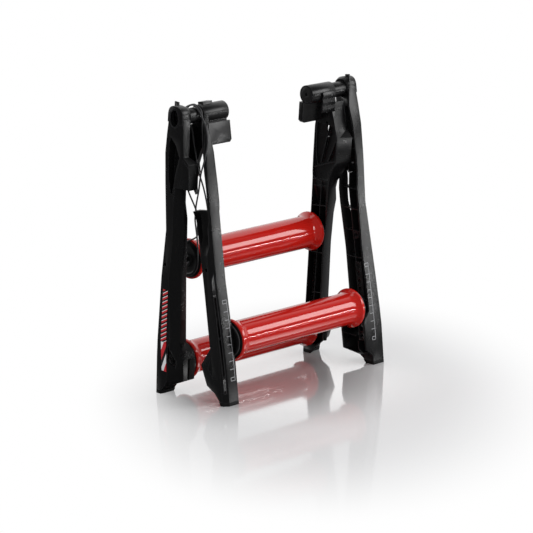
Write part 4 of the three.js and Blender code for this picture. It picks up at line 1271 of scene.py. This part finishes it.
        far = add_node(
            tree,
            "ShaderNodeMapRange",
            {"interpolation_type": "SMOOTHSTEP", "From Min": self.clear_from, "From Max": self.clear_to},
            Value=apart.outputs["Value"],
        )
        seen = add_node(
            tree,
            "ShaderNodeMath",
            {"operation": "MULTIPLY"},
            i0=far.outputs[0],
            i1=path.outputs["Is Camera Ray"],
        )
        white = add_node(tree, "ShaderNodeEmission", {"Color": WHITE, "Strength": 1.0})
        shown = seen.outputs[0]
        mix = add_node(
            tree, "ShaderNodeMixShader", {}, i0=shown, i1=surface.outputs[0], i2=white.outputs[0]
        )
        add_node(tree, "ShaderNodeOutputMaterial", {}, Surface=mix.outputs[0])
        floor.data.materials.append(material)

    def build(self) -> None:
        """Sets the whole studio."""
        bpy.context.scene.view_settings.view_transform = "Standard"
        self.floor()
        self.sky()
        self.light()
        self.camera()


# The whole object

REAR_FRONT: Table = [
    (0, 0.54), (0.13, 0.85), (0.24, 0.845), (0.406, 0.79), (0.57, 0.765), (0.8, 0.76), (1.03, 0.7),
]
FRONT_FRONT: Table = [
    (0, 0.54), (0.13, 0.86), (0.24, 0.915), (0.406, 0.905), (0.57, 0.87), (0.69, 0.96), (0.859, 1.035),
    (1.03, 0.985),
]
UPPER_DOWN, FRONT_DOWN, REAR_DOWN = 368.6, 547.0, 627.0


def main() -> None:
    """Builds the classes in order, then the studio."""
    for roller in (
        Roller("upper_rear_roller", True, UPPER_DOWN, RollerEnd.PULLEY),
        Roller("lower_rear_roller", True, REAR_DOWN, RollerEnd.PLAIN),
        Roller("front_roller", False, FRONT_DOWN, RollerEnd.PULLEY),
    ):
        roller.build()
    outer_scale = ScaleSizes(rail=262.0, rung_end=250.0, first_down=449.0)
    inner_scale = ScaleSizes(rail=225.0, rung_end=238.0, first_down=453.0)
    for leg in (
        Leg("rear_left", "rear_frame", True, -1, LegKind.OUTER, REAR_FRONT, outer_scale),
        Leg("rear_right", "rear_frame", True, 1, LegKind.INNER, REAR_FRONT, inner_scale),
        Leg("front_right", "front_frame", False, 1, LegKind.OUTER, FRONT_FRONT, outer_scale),
        Leg("front_left", "front_frame", False, -1, LegKind.INNER, FRONT_FRONT, inner_scale),
    ):
        leg.build()
    Hinge("right", "rear_frame").build()
    Hinge("left", "front_frame").build()
    Belt(UPPER_DOWN, FRONT_DOWN).build()
    for roller_name in ("upper_rear_roller", "lower_rear_roller", "front_roller"):
        for part, finish in (
            ("axle", STEEL),
            ("left_bearing", STEEL),
            ("right_bearing", STEEL),
            ("left_axle_end", CAP_PLASTIC),
            ("right_axle_end", CAP_PLASTIC),
        ):
            PAINTS.dress(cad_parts[f"{roller_name}_{part}"], finish)
            log.info("%s_%s in %s", roller_name, part, finish.name)
    Studio().build()


if __name__ == "__main__":
    main()
